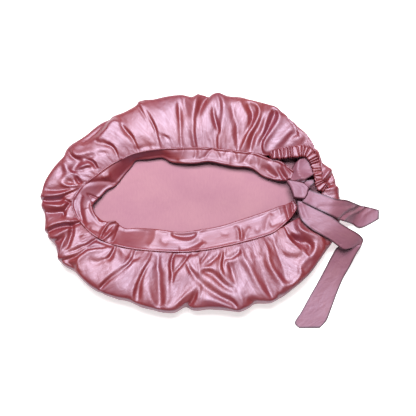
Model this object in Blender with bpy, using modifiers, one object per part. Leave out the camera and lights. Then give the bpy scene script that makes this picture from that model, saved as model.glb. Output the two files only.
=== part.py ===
"""A silk sleep bonnet lying open side up on a flat surface. Metres, +Z up, the floor at z = 0.

The origin is on the floor under the middle of the crown. The mouth opens upwards, the knot and the
ties are on the +X side, and the elastic nape casing is at +X and +Y.
"""

import math
from collections import namedtuple

import bmesh
import bpy
import numpy as np

MM = 0.001

# Driving sizes
CLOTH = 1.2 * MM  # wall of the crown
STRIP = 1.4 * MM  # wall of the band and the ties, which are folded double
RIM_HALF_LENGTH = 163 * MM  # plan of the outermost fold of the crown, along X
RIM_HALF_WIDTH = 120 * MM  # and along Y
SEAM_HALF_LENGTH = 130 * MM  # plan of the seam where the crown is gathered
SEAM_HALF_WIDTH = 57 * MM
SEAM_CENTRE_X = 12 * MM
BAND_INSET = 1.4 * MM  # the band's outer edge lies this far inside the seam line
CASING_HALF_WIDTH = 4.2 * MM
CASING_HALF_HEIGHT = 2.6 * MM
RUCHE_PITCH = 7 * MM  # one pucker of the casing
CASING_LIFT = 2.4 * MM  # its middle line above the seam line
RUCHE_DEPTH = 0.9 * MM

# How the crown is divided into faces
STATIONS = 104
UPPER_RINGS = 11
UNDER_RINGS = 5
FLOOR_RINGS = 3
BAND_FACES = 84
CASING_SIDES = 8
CASING_STEPS = 4  # faces along one pucker
KNOT_LEVELS = 2
KNOT_SWELL = 1.2  # its cage is so much wider than the knot, which smoothing draws in
WELD = 0.001 * MM

# The upper layer climbs from the seam to its top, then rolls over to the rim
TOP_AT = 0.45  # where its top lies, counted 0 at the seam and 1 at the rim
TOP_REACH = 0.40  # how far out the top is in plan
SHOULDER = 4  # 2 rolls over to the rim as an ellipse, and more stays flat for longer

# Plan and heights of the crown round the mouth, in degrees and millimetres. The reaches are shares
# of the two ellipses above, and tuck is how far the cloth runs back under the rim before it is flat.
Section = namedtuple("Section", "around seam_reach seam_mm top_mm rim_reach rim_mm tuck_mm")
SECTIONS = (
    Section(0, 1.11, 23, 27, 1.005, 12, 20),
    Section(10, 1.12, 24, 28, 0.995, 12, 20),
    Section(20, 1.115, 25, 28.5, 0.980, 12, 20),
    Section(30, 1.20, 25, 29, 0.990, 12, 22),
    Section(40, 1.31, 25, 29, 1.016, 11, 24),
    Section(50, 1.27, 24, 28.5, 1.046, 10, 26),
    Section(60, 0.99, 21, 28, 1.065, 10, 28),
    Section(70, 0.965, 20, 27.5, 1.060, 10, 28),
    Section(80, 0.965, 20, 27.5, 1.045, 10, 28),
    Section(90, 0.98, 20, 27.5, 1.015, 10, 28),
    Section(100, 1.00, 20, 27.5, 1.005, 10, 28),
    Section(110, 1.045, 20, 27.5, 1.000, 10, 28),
    Section(120, 1.07, 20, 27, 0.985, 10, 26),
    Section(130, 1.035, 20, 27, 0.985, 10, 24),
    Section(140, 0.99, 20, 26.5, 0.985, 10, 22),
    Section(150, 0.975, 20, 26.5, 0.980, 10, 20),
    Section(160, 0.985, 20, 26, 0.980, 10, 20),
    Section(170, 1.02, 20, 26, 0.990, 10, 20),
    Section(180, 1.05, 20, 26, 0.995, 10, 20),
    Section(190, 1.07, 20, 26, 0.985, 10, 20),
    Section(200, 1.08, 19, 26, 0.993, 10, 20),
    Section(210, 1.10, 19, 26.5, 1.001, 10, 22),
    Section(220, 1.13, 18, 26.5, 1.008, 10, 24),
    Section(230, 1.14, 18, 26.5, 1.020, 10, 26),
    Section(240, 1.12, 18, 26.5, 1.025, 10, 28),
    Section(250, 1.08, 17, 26.5, 1.025, 10, 28),
    Section(260, 1.05, 17, 26.5, 1.020, 10, 28),
    Section(270, 1.01, 17, 26.5, 1.012, 10, 28),
    Section(280, 0.96, 17, 27, 1.025, 10, 28),
    Section(290, 0.92, 18, 27, 1.060, 10, 28),
    Section(300, 0.905, 18, 27, 1.078, 10, 28),
    Section(310, 0.895, 19, 27, 1.065, 10, 28),
    Section(320, 0.88, 19, 26.5, 1.045, 10, 26),
    Section(330, 0.88, 19, 26, 1.025, 10, 24),
    Section(340, 0.94, 20, 26, 1.030, 11, 22),
    Section(350, 1.02, 21, 26, 1.020, 12, 20),
)

# Gathers of the crown. Each runs from one place to another, given as degrees round the mouth and
# as a place across the upper layer (0 seam, 1 rim, 2 where the cloth comes to lie on the floor).
# A ridge has a positive height and a hollow a negative one.
Fold = namedtuple("Fold", "from_around from_out to_around to_out height_mm half_width_mm")
FOLDS = (
    Fold(43, 0.1, 46, 0.7, 2, 9),
    Fold(51, 0.1, 45, 1.0, -3, 9),
    Fold(55, 0.1, 51, 1.2, 3, 9),
    Fold(58, 0.4, 56, 1.3, -3.5, 8),
    Fold(62, 0.1, 59, 1.4, -3, 9),
    Fold(66, 0.2, 69, 1.4, 3.5, 9),
    Fold(74, 0.1, 74, 1.3, -3.5, 11),
    Fold(80, 0.1, 78, 1.5, 3, 8),
    Fold(83, 0.3, 83, 1.6, -3, 8),
    Fold(90, 0.1, 87, 1.3, 3, 9),
    Fold(97, 0.1, 96, 1.6, -3, 9),
    Fold(104, 0.2, 104, 1.5, 2, 12),
    Fold(109, 0.1, 108, 1.0, -3, 7),
    Fold(112, 0.1, 111, 1.4, 3, 7),
    Fold(120, 0.1, 121, 1.5, -3, 9),
    Fold(128, 0.2, 130, 0.9, 3, 9),
    Fold(134, 0.2, 139, 1.3, -3, 8),
    Fold(142, 0.2, 149, 1.2, 3, 8),
    Fold(147, 0.1, 156, 1.0, -3, 7),
    Fold(158, 0.2, 160, 1.1, 2, 8),
    Fold(165, 0.1, 169, 1.3, -2, 7),
    Fold(172, 0.1, 176, 1.3, 2, 7),
    Fold(182, 0.1, 181, 1.3, -3, 6),
    Fold(187, 0.1, 186, 1.2, 2, 6),
    Fold(192, 0.2, 191, 1.3, -3, 7),
    Fold(201, 0.1, 197, 1.3, 3, 8),
    Fold(208, 0.2, 206, 1.3, -3, 7),
    Fold(217, 0.2, 214, 1.4, 2, 8),
    Fold(228, 0.1, 217, 0.9, -3, 7),
    Fold(232, 0.2, 223, 1.3, 3, 9),
    Fold(240, 0.1, 236, 1.5, -3.5, 9),
    Fold(246, 0.2, 245, 1.3, 3, 9),
    Fold(250, 0.1, 250, 1.6, -3, 8),
    Fold(255, 0.5, 256, 1.3, 2, 8),
    Fold(259, 0.1, 260, 1.0, -3, 8),
    Fold(268, 0.1, 264, 1.3, 3, 9),
    Fold(267, 0.3, 283, 0.9, -3, 8),
    Fold(275, 0.9, 272, 1.6, -3, 9),
    Fold(279, 0.2, 290, 1.3, 3, 9),
    Fold(286, 0.1, 287, 0.6, -2, 8),
    Fold(292, 0.1, 298, 1.4, 3, 8),
    Fold(298, 0.1, 302, 1.1, -2, 9),
    Fold(304, 0.1, 308, 1.3, 3, 8),
    Fold(312, 0.2, 314, 1.0, -2, 10),
    Fold(321, 0.1, 323, 1.2, 3, 9),
    Fold(327, 0.2, 329, 1.1, -3, 7),
)

# The band along the seam: its width in plan and the height of its free inner edge.
BandSection = namedtuple("BandSection", "around plan_mm inner_mm")
BAND_SECTIONS = (
    BandSection(62, 17, 15),
    BandSection(75, 16, 15),
    BandSection(90, 15, 15),
    BandSection(103, 13, 15),
    BandSection(112, 7, 14),
    BandSection(124, 7, 12),
    BandSection(136, 13, 12),
    BandSection(148, 18, 13),
    BandSection(160, 19, 14),
    BandSection(172, 22, 14),
    BandSection(184, 23, 15),
    BandSection(196, 22, 15),
    BandSection(210, 21, 14),
    BandSection(225, 23, 14),
    BandSection(245, 24, 14),
    BandSection(265, 23, 14),
    BandSection(285, 23, 14),
    BandSection(305, 24, 14),
    BandSection(318, 22, 14),
)

# Both ends of the band leave the seam and run to the knot: the outer and the inner edge there.
StripRow = namedtuple("StripRow", "one_x one_y one_z other_x other_y other_z")
BAND_START = (
    StripRow(113, 32, 24, 104, 25, 20),
    StripRow(101, 39, 23, 95, 24, 13),
)
BAND_FINISH = (
    StripRow(112, -20, 19, 109, -4, 16),
    StripRow(118, -9.5, 20.5, 113, -2, 19),
)

# Middle line of the casing, in millimetres. It takes the place of the band along the nape.
CasingPoint = namedtuple("CasingPoint", "around inward_mm")
CASING_LINE = (
    CasingPoint(57, 6.6),
    CasingPoint(47, 6.6),
    CasingPoint(40, 7.2),
    CasingPoint(32, 6.6),
    CasingPoint(22, 6.6),
    CasingPoint(10, 6.6),
    CasingPoint(0, 6.6),
    CasingPoint(-10, 6.6),
    CasingPoint(-17, 6.6),
)

# The two edges of each ribbon, in millimetres, from the knot outwards
TIE_SHORT_ROWS = (
    StripRow(131, 9, 29.5, 126, -4, 28.5),
    StripRow(141, 4, 34, 136, -11, 34),
    StripRow(150, 1, 36, 144, -16, 36),
    StripRow(162, -2, 33, 156, -21.5, 32),
    StripRow(171.5, -1.5, 24, 167, -23, 22.5),
    StripRow(179.5, -1.5, 12, 175.5, -25, 10),
    StripRow(188, -4, 4, 187, -29, 3),
    StripRow(197, -6, 1.2, 196, -26, 1.2),
    StripRow(208, -8, 0.8, 208, -19, 0.8),
)
TIE_LONG_ROWS = (
    StripRow(125, -3, 24, 117, -8, 24),
    StripRow(133, -11, 28.5, 126, -28, 29),
    StripRow(143, -17, 31, 134, -38, 30),
    StripRow(153, -22, 30, 144, -43, 30),
    StripRow(163, -27, 24, 154, -48, 25),
    StripRow(173, -30, 14, 163, -52, 16),
    StripRow(181, -33, 9, 171, -53, 11),
    StripRow(187, -37, 7, 181, -49, 8),
    StripRow(189, -40, 4.5, 185, -51, 4.5),
    StripRow(187, -43, 2.2, 180, -53, 2.2),
    StripRow(184, -50, 1.0, 168, -52, 1.0),
    StripRow(181, -58, 0.75, 160, -54, 0.75),
    StripRow(175, -71, 0.75, 151, -67, 0.75),
    StripRow(166, -88, 0.75, 142, -82, 0.75),
    StripRow(158, -103, 0.75, 132, -98, 0.75),
    StripRow(152, -118, 0.75, 121, -116, 0.75),
    StripRow(149, -130, 0.75, 116, -129, 0.75),
    StripRow(143, -137, 0.75, 121, -137, 0.75),
)
TIE_LOOP_ROWS = (
    StripRow(120, 43.5, 24, 128, 43, 24),
    StripRow(117, 38, 29, 131, 36, 29),
    StripRow(114, 33, 33, 134, 32, 33),
    StripRow(112, 28, 34, 134, 26, 34),
    StripRow(113, 22, 33, 131, 21, 33),
    StripRow(117, 17, 30.2, 127, 16, 30.2),
)

# The knot is a rounded block: its plan corners, its underside and its top
KnotCorner = namedtuple("KnotCorner", "x y under_mm over_mm")
KNOT_CORNERS = (
    KnotCorner(104, 21, 15, 28),
    KnotCorner(124, 17, 17, 35),
    KnotCorner(133, 10, 17, 34),
    KnotCorner(126, -3, 16, 32),
    KnotCorner(113, -2, 14, 28),
    KnotCorner(107, 9, 14, 30),
)

SATIN = (0.64, 0.27, 0.34)
TIE_SATIN = (0.55, 0.26, 0.31)


def smooth_row(rows, place):
    """A row between the given ones, on a smooth curve through them; place counts rows."""
    at = min(max(place, 0.0), len(rows) - 1.0)
    first = min(int(at), len(rows) - 2)
    share = at - first
    near = [np.array(rows[min(max(first + k, 0), len(rows) - 1)], float) for k in (-1, 0, 1, 2)]
    slope_in = (near[2] - near[0]) / 2
    slope_out = (near[3] - near[1]) / 2
    rise = near[2] - near[1]
    bend = 3 * rise - 2 * slope_in - slope_out
    twist = slope_in + slope_out - 2 * rise
    return near[1] + slope_in * share + bend * share**2 + twist * share**3


def section_at(around):
    """The crown's section at any angle round the mouth."""
    step = 360 / len(SECTIONS)
    ring = SECTIONS[-2:] + SECTIONS + SECTIONS[:3]
    values = smooth_row(ring, (around % 360) / step + 2)
    return Section(*values)


def seam_plan(around):
    section = section_at(around)
    angle = math.radians(around)
    return np.array(
        [
            SEAM_CENTRE_X + SEAM_HALF_LENGTH * section.seam_reach * math.cos(angle),
            SEAM_HALF_WIDTH * section.seam_reach * math.sin(angle),
        ]
    )


def seam_point(around, inward, lift):
    """A place so far inside the seam line, square to it, and so far above it."""
    ahead = seam_plan(around + 1) - seam_plan(around - 1)
    across = np.array([-ahead[1], ahead[0]]) / np.linalg.norm(ahead)
    x, y = seam_plan(around) + inward * across
    return np.array([x, y, section_at(around).seam_mm * MM + lift])


def smooth_crown_point(around, out):
    """The crown's middle surface without its gathers: 0 seam, 1 rim, 2 flat, 3 centre of the floor."""
    section = section_at(around)
    angle = math.radians(around)
    floor = CLOTH / 2
    seam_z = section.seam_mm * MM
    top_z = section.top_mm * MM
    rim_z = section.rim_mm * MM
    seam = seam_plan(around)
    rim = np.array(
        [
            RIM_HALF_LENGTH * section.rim_reach * math.cos(angle),
            RIM_HALF_WIDTH * section.rim_reach * math.sin(angle),
        ]
    )
    if out <= TOP_AT:
        climb = out / TOP_AT
        plan = seam + (rim - seam) * TOP_REACH * climb
        z = seam_z + (top_z - seam_z) * math.sin(climb * math.pi / 2)
    elif out <= 1:
        roll = (out - TOP_AT) / (1 - TOP_AT) * math.pi / 2
        plan = seam + (rim - seam) * (TOP_REACH + (1 - TOP_REACH) * math.sin(roll))
        fall = (1 - math.sin(roll) ** SHOULDER) ** (1 / SHOULDER)
        z = rim_z + (top_z - rim_z) * fall
    else:
        roll = min(out - 1, 1) * math.pi / 2
        inward = section.tuck_mm * MM * (1 - math.cos(roll)) / np.linalg.norm(rim)
        plan = rim * (1 - inward) * (1 - max(out - 2, 0))
        z = floor + (rim_z - floor) * (1 - math.sin(roll))
    return np.array([plan[0], plan[1], z])


def fold_height(around, out, per_degree):
    """How far the gathers lift the cloth off its smooth surface, per_degree long each degree."""
    height = 0.0
    for fold in FOLDS:
        along = (out - fold.from_out) / (fold.to_out - fold.from_out)
        if not 0 < along < 1:
            continue
        middle = fold.from_around + (fold.to_around - fold.from_around) * along
        across = ((around - middle + 180) % 360 - 180) * per_degree
        fade = math.sin(math.pi * along) ** 0.6
        height += fold.height_mm * MM * fade * math.exp(-((across / (fold.half_width_mm * MM)) ** 2))
    return height


def crown_point(around, out):
    here = smooth_crown_point(around, out)
    if not 0.05 < out < 2:
        return here
    step = 0.01
    along = smooth_crown_point(around + 1, out) - smooth_crown_point(around - 1, out)
    outward = smooth_crown_point(around, out + step) - smooth_crown_point(around, out - step)
    normal = np.cross(outward, along)
    normal /= np.linalg.norm(normal)
    here = here + normal * fold_height(around, out, np.linalg.norm(along) / 2)
    here[2] = max(here[2], CLOTH / 2)
    return here


def satin(name, colour, roughness):
    material = bpy.data.materials.new(name)
    material.use_nodes = True
    shader = material.node_tree.nodes["Principled BSDF"]
    shader.inputs["Base Color"].default_value = (*colour, 1)
    shader.inputs["Roughness"].default_value = roughness
    shader.inputs["Metallic"].default_value = 0
    material.diffuse_color = (*colour, 1)
    return material


def add_piece(name, shape, material, collection, wall=None):
    """Turns a bmesh into a named object. With a wall it is a sheet that gets that thickness."""
    mesh = bpy.data.meshes.new(name)
    shape.to_mesh(mesh)
    shape.free()
    mesh.materials.append(material)
    piece = bpy.data.objects.new(name, mesh)
    collection.objects.link(piece)
    if wall:
        thicken = piece.modifiers.new("Wall", "SOLIDIFY")
        thicken.thickness = wall
        thicken.offset = 0
    return piece


def add_crown(collection, material):
    """One round of cloth: the seam, the upper layer, the rim, the floor layer and its centre."""
    outs = [k / UPPER_RINGS for k in range(UPPER_RINGS + 1)]
    outs += [1 + (k + 1) / UNDER_RINGS for k in range(UNDER_RINGS)]
    outs += [2 + (k + 1) / FLOOR_RINGS for k in range(FLOOR_RINGS)]
    shape = bmesh.new()
    bmesh.ops.create_grid(shape, x_segments=STATIONS, y_segments=len(outs) - 1, size=1)
    for vertex in shape.verts:
        around = (vertex.co.x + 1) / 2 * 360
        ring = round((vertex.co.y + 1) / 2 * (len(outs) - 1))
        vertex.co = crown_point(around, outs[ring])
    bmesh.ops.remove_doubles(shape, verts=shape.verts, dist=WELD)
    bmesh.ops.recalc_face_normals(shape, faces=shape.faces)
    return add_piece("crown", shape, material, collection, CLOTH)


def add_strip(name, rows, collection, material, lengthwise, crosswise=3):
    """A ribbon between two edges, divided evenly between the rows of its table."""
    shape = bmesh.new()
    bmesh.ops.create_grid(shape, x_segments=crosswise, y_segments=lengthwise, size=1)
    for vertex in shape.verts:
        row = smooth_row(rows, (vertex.co.y + 1) / 2 * (len(rows) - 1))
        share = (vertex.co.x + 1) / 2
        vertex.co = row[:3] * (1 - share) + row[3:] * share
    bmesh.ops.recalc_face_normals(shape, faces=shape.faces)
    return add_piece(name, shape, material, collection, STRIP)


def in_metres(rows):
    return [np.array(row) * MM for row in rows]


def add_front_band(collection, material):
    """The band from the knot along the seam, round the left end and back to the knot."""
    rows = in_metres(BAND_START)
    for section in BAND_SECTIONS:
        outer = seam_point(section.around, BAND_INSET, 0)
        inner = seam_point(section.around, BAND_INSET + section.plan_mm * MM, 0)
        inner[2] = section.inner_mm * MM
        rows.append(np.concatenate([outer, inner]))
    rows += in_metres(BAND_FINISH)
    return add_strip("front_band", rows, collection, material, BAND_FACES)


def add_elastic_casing(collection, material):
    """A flat tube of cloth puckered by the elastic inside it."""
    middle = [seam_point(c.around, c.inward_mm * MM, CASING_LIFT) for c in CASING_LINE]
    length = sum(np.linalg.norm(b - a) for a, b in zip(middle, middle[1:], strict=False))
    steps = round(length / RUCHE_PITCH) * CASING_STEPS
    shape = bmesh.new()
    bmesh.ops.create_grid(shape, x_segments=CASING_SIDES, y_segments=steps, size=1)
    for vertex in shape.verts:
        share = (vertex.co.y + 1) / 2
        place = share * (len(middle) - 1)
        centre = smooth_row(middle, place)
        ahead = smooth_row(middle, place + 0.1) - smooth_row(middle, place - 0.1)
        across = np.array([-ahead[1], ahead[0], 0]) / math.hypot(ahead[0], ahead[1])
        pucker = RUCHE_DEPTH * math.cos(2 * math.pi * share * length / RUCHE_PITCH)
        closing = min(1, math.sin(math.pi * share) * length / RUCHE_PITCH)
        angle = vertex.co.x * math.pi
        sideways = (CASING_HALF_WIDTH + pucker) * closing * math.cos(angle)
        upwards = (CASING_HALF_HEIGHT + pucker / 2) * closing * math.sin(angle)
        vertex.co = centre + across * sideways + np.array([0, 0, upwards])
    bmesh.ops.remove_doubles(shape, verts=shape.verts, dist=WELD)
    bmesh.ops.recalc_face_normals(shape, faces=shape.faces)
    return add_piece("elastic_casing", shape, material, collection)


def add_tie_knot(collection, material):
    shape = bmesh.new()
    corners = len(KNOT_CORNERS)
    bmesh.ops.create_cone(shape, cap_ends=True, segments=corners, radius1=1, radius2=1, depth=2)
    middle = np.mean([(corner.x, corner.y) for corner in KNOT_CORNERS], axis=0)
    order = sorted(shape.verts, key=lambda v: (v.co.z, -math.atan2(v.co.y, v.co.x)))
    for number, vertex in enumerate(order):
        corner = KNOT_CORNERS[number % corners]
        height = corner.under_mm if number < corners else corner.over_mm
        x, y = middle + (np.array([corner.x, corner.y]) - middle) * KNOT_SWELL
        vertex.co = np.array([x, y, height]) * MM
    bmesh.ops.recalc_face_normals(shape, faces=shape.faces)
    knot = add_piece("tie_knot", shape, material, collection)
    soften = knot.modifiers.new("Soften", "SUBSURF")
    soften.levels = KNOT_LEVELS
    soften.render_levels = KNOT_LEVELS
    return knot


def main():
    for stale in list(bpy.data.objects):
        bpy.data.objects.remove(stale, do_unlink=True)
    bonnet = bpy.data.collections.new("sleep_bonnet")
    bpy.context.scene.collection.children.link(bonnet)
    silk = satin("silk_satin", SATIN, 0.35)
    tie_silk = satin("tie_silk", TIE_SATIN, 0.45)
    add_crown(bonnet, silk)
    add_front_band(bonnet, silk)
    add_elastic_casing(bonnet, silk)
    add_strip("tie_loop", in_metres(TIE_LOOP_ROWS), bonnet, tie_silk, lengthwise=12)
    add_tie_knot(bonnet, tie_silk)
    add_strip("tie_short", in_metres(TIE_SHORT_ROWS), bonnet, tie_silk, lengthwise=22)
    add_strip("tie_long", in_metres(TIE_LONG_ROWS), bonnet, tie_silk, lengthwise=44)


main()
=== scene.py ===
import math
from collections import namedtuple

import bmesh
import bpy
import numpy as np
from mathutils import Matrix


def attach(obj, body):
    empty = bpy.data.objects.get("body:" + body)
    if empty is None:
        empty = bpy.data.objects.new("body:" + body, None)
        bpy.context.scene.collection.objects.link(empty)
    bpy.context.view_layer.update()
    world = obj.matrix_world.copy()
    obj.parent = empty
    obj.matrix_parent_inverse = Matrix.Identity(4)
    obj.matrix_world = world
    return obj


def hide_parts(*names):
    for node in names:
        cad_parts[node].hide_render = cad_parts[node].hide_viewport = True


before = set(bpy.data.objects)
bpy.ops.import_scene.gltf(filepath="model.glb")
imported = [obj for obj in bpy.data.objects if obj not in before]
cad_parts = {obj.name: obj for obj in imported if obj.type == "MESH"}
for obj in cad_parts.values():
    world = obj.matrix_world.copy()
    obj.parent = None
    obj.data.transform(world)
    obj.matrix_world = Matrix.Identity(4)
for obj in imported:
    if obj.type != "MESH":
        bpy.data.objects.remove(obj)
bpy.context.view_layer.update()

# ---------------------------------------------------------------------------------------------
# Camera. It looks at the bonnet from the near side, almost straight down, through a long lens, as
# the photograph does.
CAMERA_HEIGHT_ANGLE = math.radians(76)
CAMERA_DISTANCE = 1.271
CAMERA_LENS_MM = 100
LOOK_AT = np.array([0.0209, -0.0057, 0.0])

camera = bpy.data.objects.new("camera", bpy.data.cameras.new("camera"))
camera.data.lens = CAMERA_LENS_MM
camera.data.clip_start = 0.01
back = np.array([0, -math.cos(CAMERA_HEIGHT_ANGLE), math.sin(CAMERA_HEIGHT_ANGLE)])
camera.location = LOOK_AT + back * CAMERA_DISTANCE
camera.rotation_euler = (math.pi / 2 - CAMERA_HEIGHT_ANGLE, 0, 0)
bpy.context.scene.collection.objects.link(camera)
bpy.context.scene.camera = camera

# ---------------------------------------------------------------------------------------------
# Floor and studio light. A pale floor whose own emission is a painted glow, so that what lies on it
# hardly throws a shadow, a wide softbox above the far side, a weak fill from the near side and a
# dim room.
MM = 0.001
FLOOR_SIZE = 6.0
FLOOR_COLOUR = "#F4F2F2"
FLOOR_CLOUD_COLOUR = "#EFEDEE"
FLOOR_CLOUD_MM = 300
FLOOR_ROUGHNESS = 0.9
FLOOR_SPECULAR = 0.1
FLOOR_GLOW = 0.70
NOISE_RANGE = {"From Min": 0.35, "From Max": 0.65}  # where a noise has most of its values
KEY_SIZE = 0.80
KEY_PLACE = (-0.05, 0.42, 1.30)
KEY_WATTS = 37.5
FILL_SIZE = 0.9
FILL_PLACE = (0.3, -0.9, 1.1)
FILL_WATTS = 1.6
ROOM_COLOUR = "#FFEAE2"
ROOM_STRENGTH = 0.04


def linear(colour):
    """An sRGB hex colour as the linear one that a shader works in."""
    parts = [int(colour[k : k + 2], 16) / 255 for k in (1, 3, 5)]
    parts = [p / 12.92 if p <= 0.04045 else ((p + 0.055) / 1.055) ** 2.4 for p in parts]
    return (*parts, 1)


def set_inputs(node, values):
    for key, value in values.items():
        node.inputs[key].default_value = value


def new_material(name):
    material = bpy.data.materials.new(name)
    material.use_nodes = True
    return material, material.node_tree, material.node_tree.nodes["Principled BSDF"]


def add_node(tree, kind, settings=None, links=None):
    """Adds a node with its settings, then links other nodes' outputs to its inputs."""
    node = tree.nodes.new(kind)
    for key, value in (settings or {}).items():
        if isinstance(key, int) or key in node.inputs:
            node.inputs[key].default_value = value
        else:
            setattr(node, key, value)
    for key, output in (links or {}).items():
        tree.links.new(output, node.inputs[key])
    return node


def add_light(name, place, size, watts):
    """A square softbox that faces the bonnet."""
    data = bpy.data.lights.new(name, "AREA")
    data.shape = "SQUARE"
    data.size = size
    data.energy = watts
    light = bpy.data.objects.new(name, data)
    light.location = place
    light.rotation_euler = (-light.location).to_track_quat("-Z", "Y").to_euler()
    bpy.context.scene.collection.objects.link(light)


shape = bmesh.new()
bmesh.ops.create_grid(shape, x_segments=1, y_segments=1, size=FLOOR_SIZE / 2)
floor_mesh = bpy.data.meshes.new("floor")
shape.to_mesh(floor_mesh)
shape.free()
floor = bpy.data.objects.new("floor", floor_mesh)
bpy.context.scene.collection.objects.link(floor)
glowing_floor, tree, shader = new_material("pale_floor_painted_glow")
place = add_node(tree, "ShaderNodeTexCoord").outputs["Object"]
cloud = add_node(tree, "ShaderNodeTexNoise", {"Scale": 1 / (FLOOR_CLOUD_MM * MM)},
                 {"Vector": place})
share = add_node(tree, "ShaderNodeMapRange", NOISE_RANGE, {"Value": cloud.outputs["Fac"]})
white = add_node(tree, "ShaderNodeMix",
                 {"data_type": "RGBA", 6: linear(FLOOR_COLOUR), 7: linear(FLOOR_CLOUD_COLOUR)},
                 {0: share.outputs["Result"]})
tree.links.new(white.outputs[2], shader.inputs["Base Color"])
# Painted glow: the floor's emission lights the bonnet from below and fills in its shadows on the
# floor.
set_inputs(shader, {"Roughness": FLOOR_ROUGHNESS, "Specular IOR Level": FLOOR_SPECULAR,
                    "Emission Color": linear(FLOOR_COLOUR), "Emission Strength": FLOOR_GLOW})
floor_mesh.materials.append(glowing_floor)
add_light("key_softbox", KEY_PLACE, KEY_SIZE, KEY_WATTS)
add_light("fill_softbox", FILL_PLACE, FILL_SIZE, FILL_WATTS)
room = bpy.data.worlds.new("room")
room.use_nodes = True
set_inputs(room.node_tree.nodes["Background"],
           {"Color": linear(ROOM_COLOUR), "Strength": ROOM_STRENGTH})
bpy.context.scene.world = room
bpy.context.scene.view_settings.view_transform = "Standard"

# ---------------------------------------------------------------------------------------------
# Crown. An oval of silk charmeuse, satin outside and matt inside, gathered along its edge into the
# band and the nape casing. It lies on its back: the middle is flat and its edge rolls up and over.
SILK = 0.4 * MM
RIM_HALF_LENGTH = 163 * MM
RIM_HALF_WIDTH = 120 * MM
SEAM_HALF_LENGTH = 130 * MM
SEAM_HALF_WIDTH = 57 * MM
SEAM_CENTRE_X = 12 * MM
CROWN_STATIONS = 840
UPPER_RINGS = 38
UNDER_RINGS = 8
FLOOR_RINGS = 14
# Places between the seam and the middle are written as 0 at the seam, 1 at the rim, 2 where the
# cloth comes to lie on the floor and 3 in the middle.
TOP_AT = 0.45
TOP_REACH = 0.40  # how much of the way out to the rim the top is
RISE_POWER = 1.7
SLOPE_STEP_OUT = 0.005
WELD = 0.001 * MM

# The crown's section every few degrees round the mouth: the seam and the rim as shares of the ovals
# above with their heights, the top between them, how far the side tucks in under the rim, and how
# square its shoulder is.
Section = namedtuple(
    "Section", "around seam_reach seam_mm top_mm rim_reach rim_mm tuck_mm shoulder")
SECTIONS = [Section(*row) for row in (
    (0, 1, 23, 26, 1.005, 12, 20, 5),
    (6, 1.03, 23.5, 26, 1, 12, 20, 5),
    (10, 1.08, 24, 26.5, 0.995, 12, 20, 5),
    (20, 1.06, 24, 27, 0.98, 12, 20, 5),
    (30, 1.15, 24, 27.5, 0.99, 12, 22, 5),
    (40, 1.27, 24, 27.5, 1.016, 11, 24, 5),
    (50, 1.3, 23, 27, 1.046, 10, 26, 6),
    (52, 1.24, 23, 27, 1.05, 10, 26, 6),
    (55, 1.01, 22, 26, 1.058, 9.5, 27, 6.5),
    (60, 0.985, 22, 26, 1.065, 9, 28, 7),
    (70, 0.965, 22, 25.5, 1.06, 8, 28, 7),
    (80, 0.965, 22, 25.5, 1.045, 8, 28, 7),
    (90, 0.98, 22, 25.5, 1.015, 8, 28, 7),
    (100, 0.99, 22, 25.5, 1.005, 8, 28, 5),
    (110, 1.015, 22, 25.5, 1, 8, 28, 4),
    (120, 1.03, 21.5, 25.5, 0.985, 8, 26, 3.5),
    (130, 1.01, 21, 25, 0.985, 8, 24, 3),
    (140, 0.99, 21, 24.5, 0.985, 8, 22, 3),
    (150, 0.975, 21, 24.5, 0.98, 8, 20, 4),
    (160, 0.985, 21, 24, 0.98, 8, 20, 6),
    (170, 1.02, 21, 24, 0.985, 8, 20, 7),
    (180, 1.05, 21, 24, 0.99, 8, 20, 7),
    (190, 1.07, 21, 24, 0.985, 8, 20, 7),
    (200, 1.08, 20, 24, 0.993, 8, 20, 7),
    (210, 1.1, 20, 24.5, 1.001, 8, 22, 7),
    (220, 1.13, 20, 24.5, 1.008, 8, 24, 8),
    (230, 1.14, 20, 24.5, 1.018, 7, 26, 9),
    (240, 1.12, 20, 24.5, 1.02, 7, 28, 10),
    (250, 1.08, 20, 24.5, 1.018, 7, 28, 11),
    (260, 1.05, 20, 24.5, 1.015, 7, 28, 12),
    (270, 1.01, 20, 24.5, 1.01, 7, 28, 12),
    (280, 0.96, 20, 25, 1.022, 7, 28, 12),
    (290, 0.92, 20, 25, 1.057, 7, 28, 12),
    (300, 0.905, 20, 25, 1.075, 7, 28, 11),
    (310, 0.895, 20, 25, 1.065, 7, 28, 10),
    (320, 0.88, 20, 24.5, 1.045, 8, 26, 8),
    (330, 0.88, 20, 24, 1.025, 10, 24, 6),
    (340, 0.94, 20, 24.5, 1.03, 11, 22, 5),
    (350, 0.98, 21, 25, 1.02, 12, 20, 5),
)]

# How far the gathers push the rim out or draw it in. The push grows from the first of these places
# to the second.
RIM_PUSH_FROM = 0.4
RIM_PUSH_WHOLE = 0.9
RimPoint = namedtuple("RimPoint", "around outward_mm")
RIM_POINTS = [RimPoint(*row) for row in (
    (-2, 0), (10, -1), (16, -0.5), (20, -5), (24, -4), (32, -2.6), (38, -2.8), (44, -4.4),
    (52, -3.3), (56, -1.5), (60, -3.3), (65, -4.8), (70, -4), (75, -4.8), (79.5, -2.2),
    (82.5, -5.6), (85.7, -3.6), (89, -5.2), (93, -2.3), (99, -2), (104, -2.8), (108.5, -0.8),
    (111.5, -3.8), (117, -6), (128, -5.2), (137, -8), (141, -7.8), (148, -4.6), (155, -6.2),
    (163, -4.2), (171, -1.8), (176, -1.8), (180.5, -0.8), (184, -1.2), (191, -2.5), (197, 0),
    (201, -0.5), (206, -3.2), (210, -1), (213.5, 2.6), (217, 1.5), (221, -1.6), (228, -0.2),
    (234, 1.2), (242, 0), (247, -1.4), (253, 1), (261, 2.4), (265, 2.4), (268.3, -3), (272, -0.5),
    (278, -1), (284, 0.8), (288, 3), (292, 0.2), (296, -2.4), (300, 1.2), (310, 0), (358, 0),
)]

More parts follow.
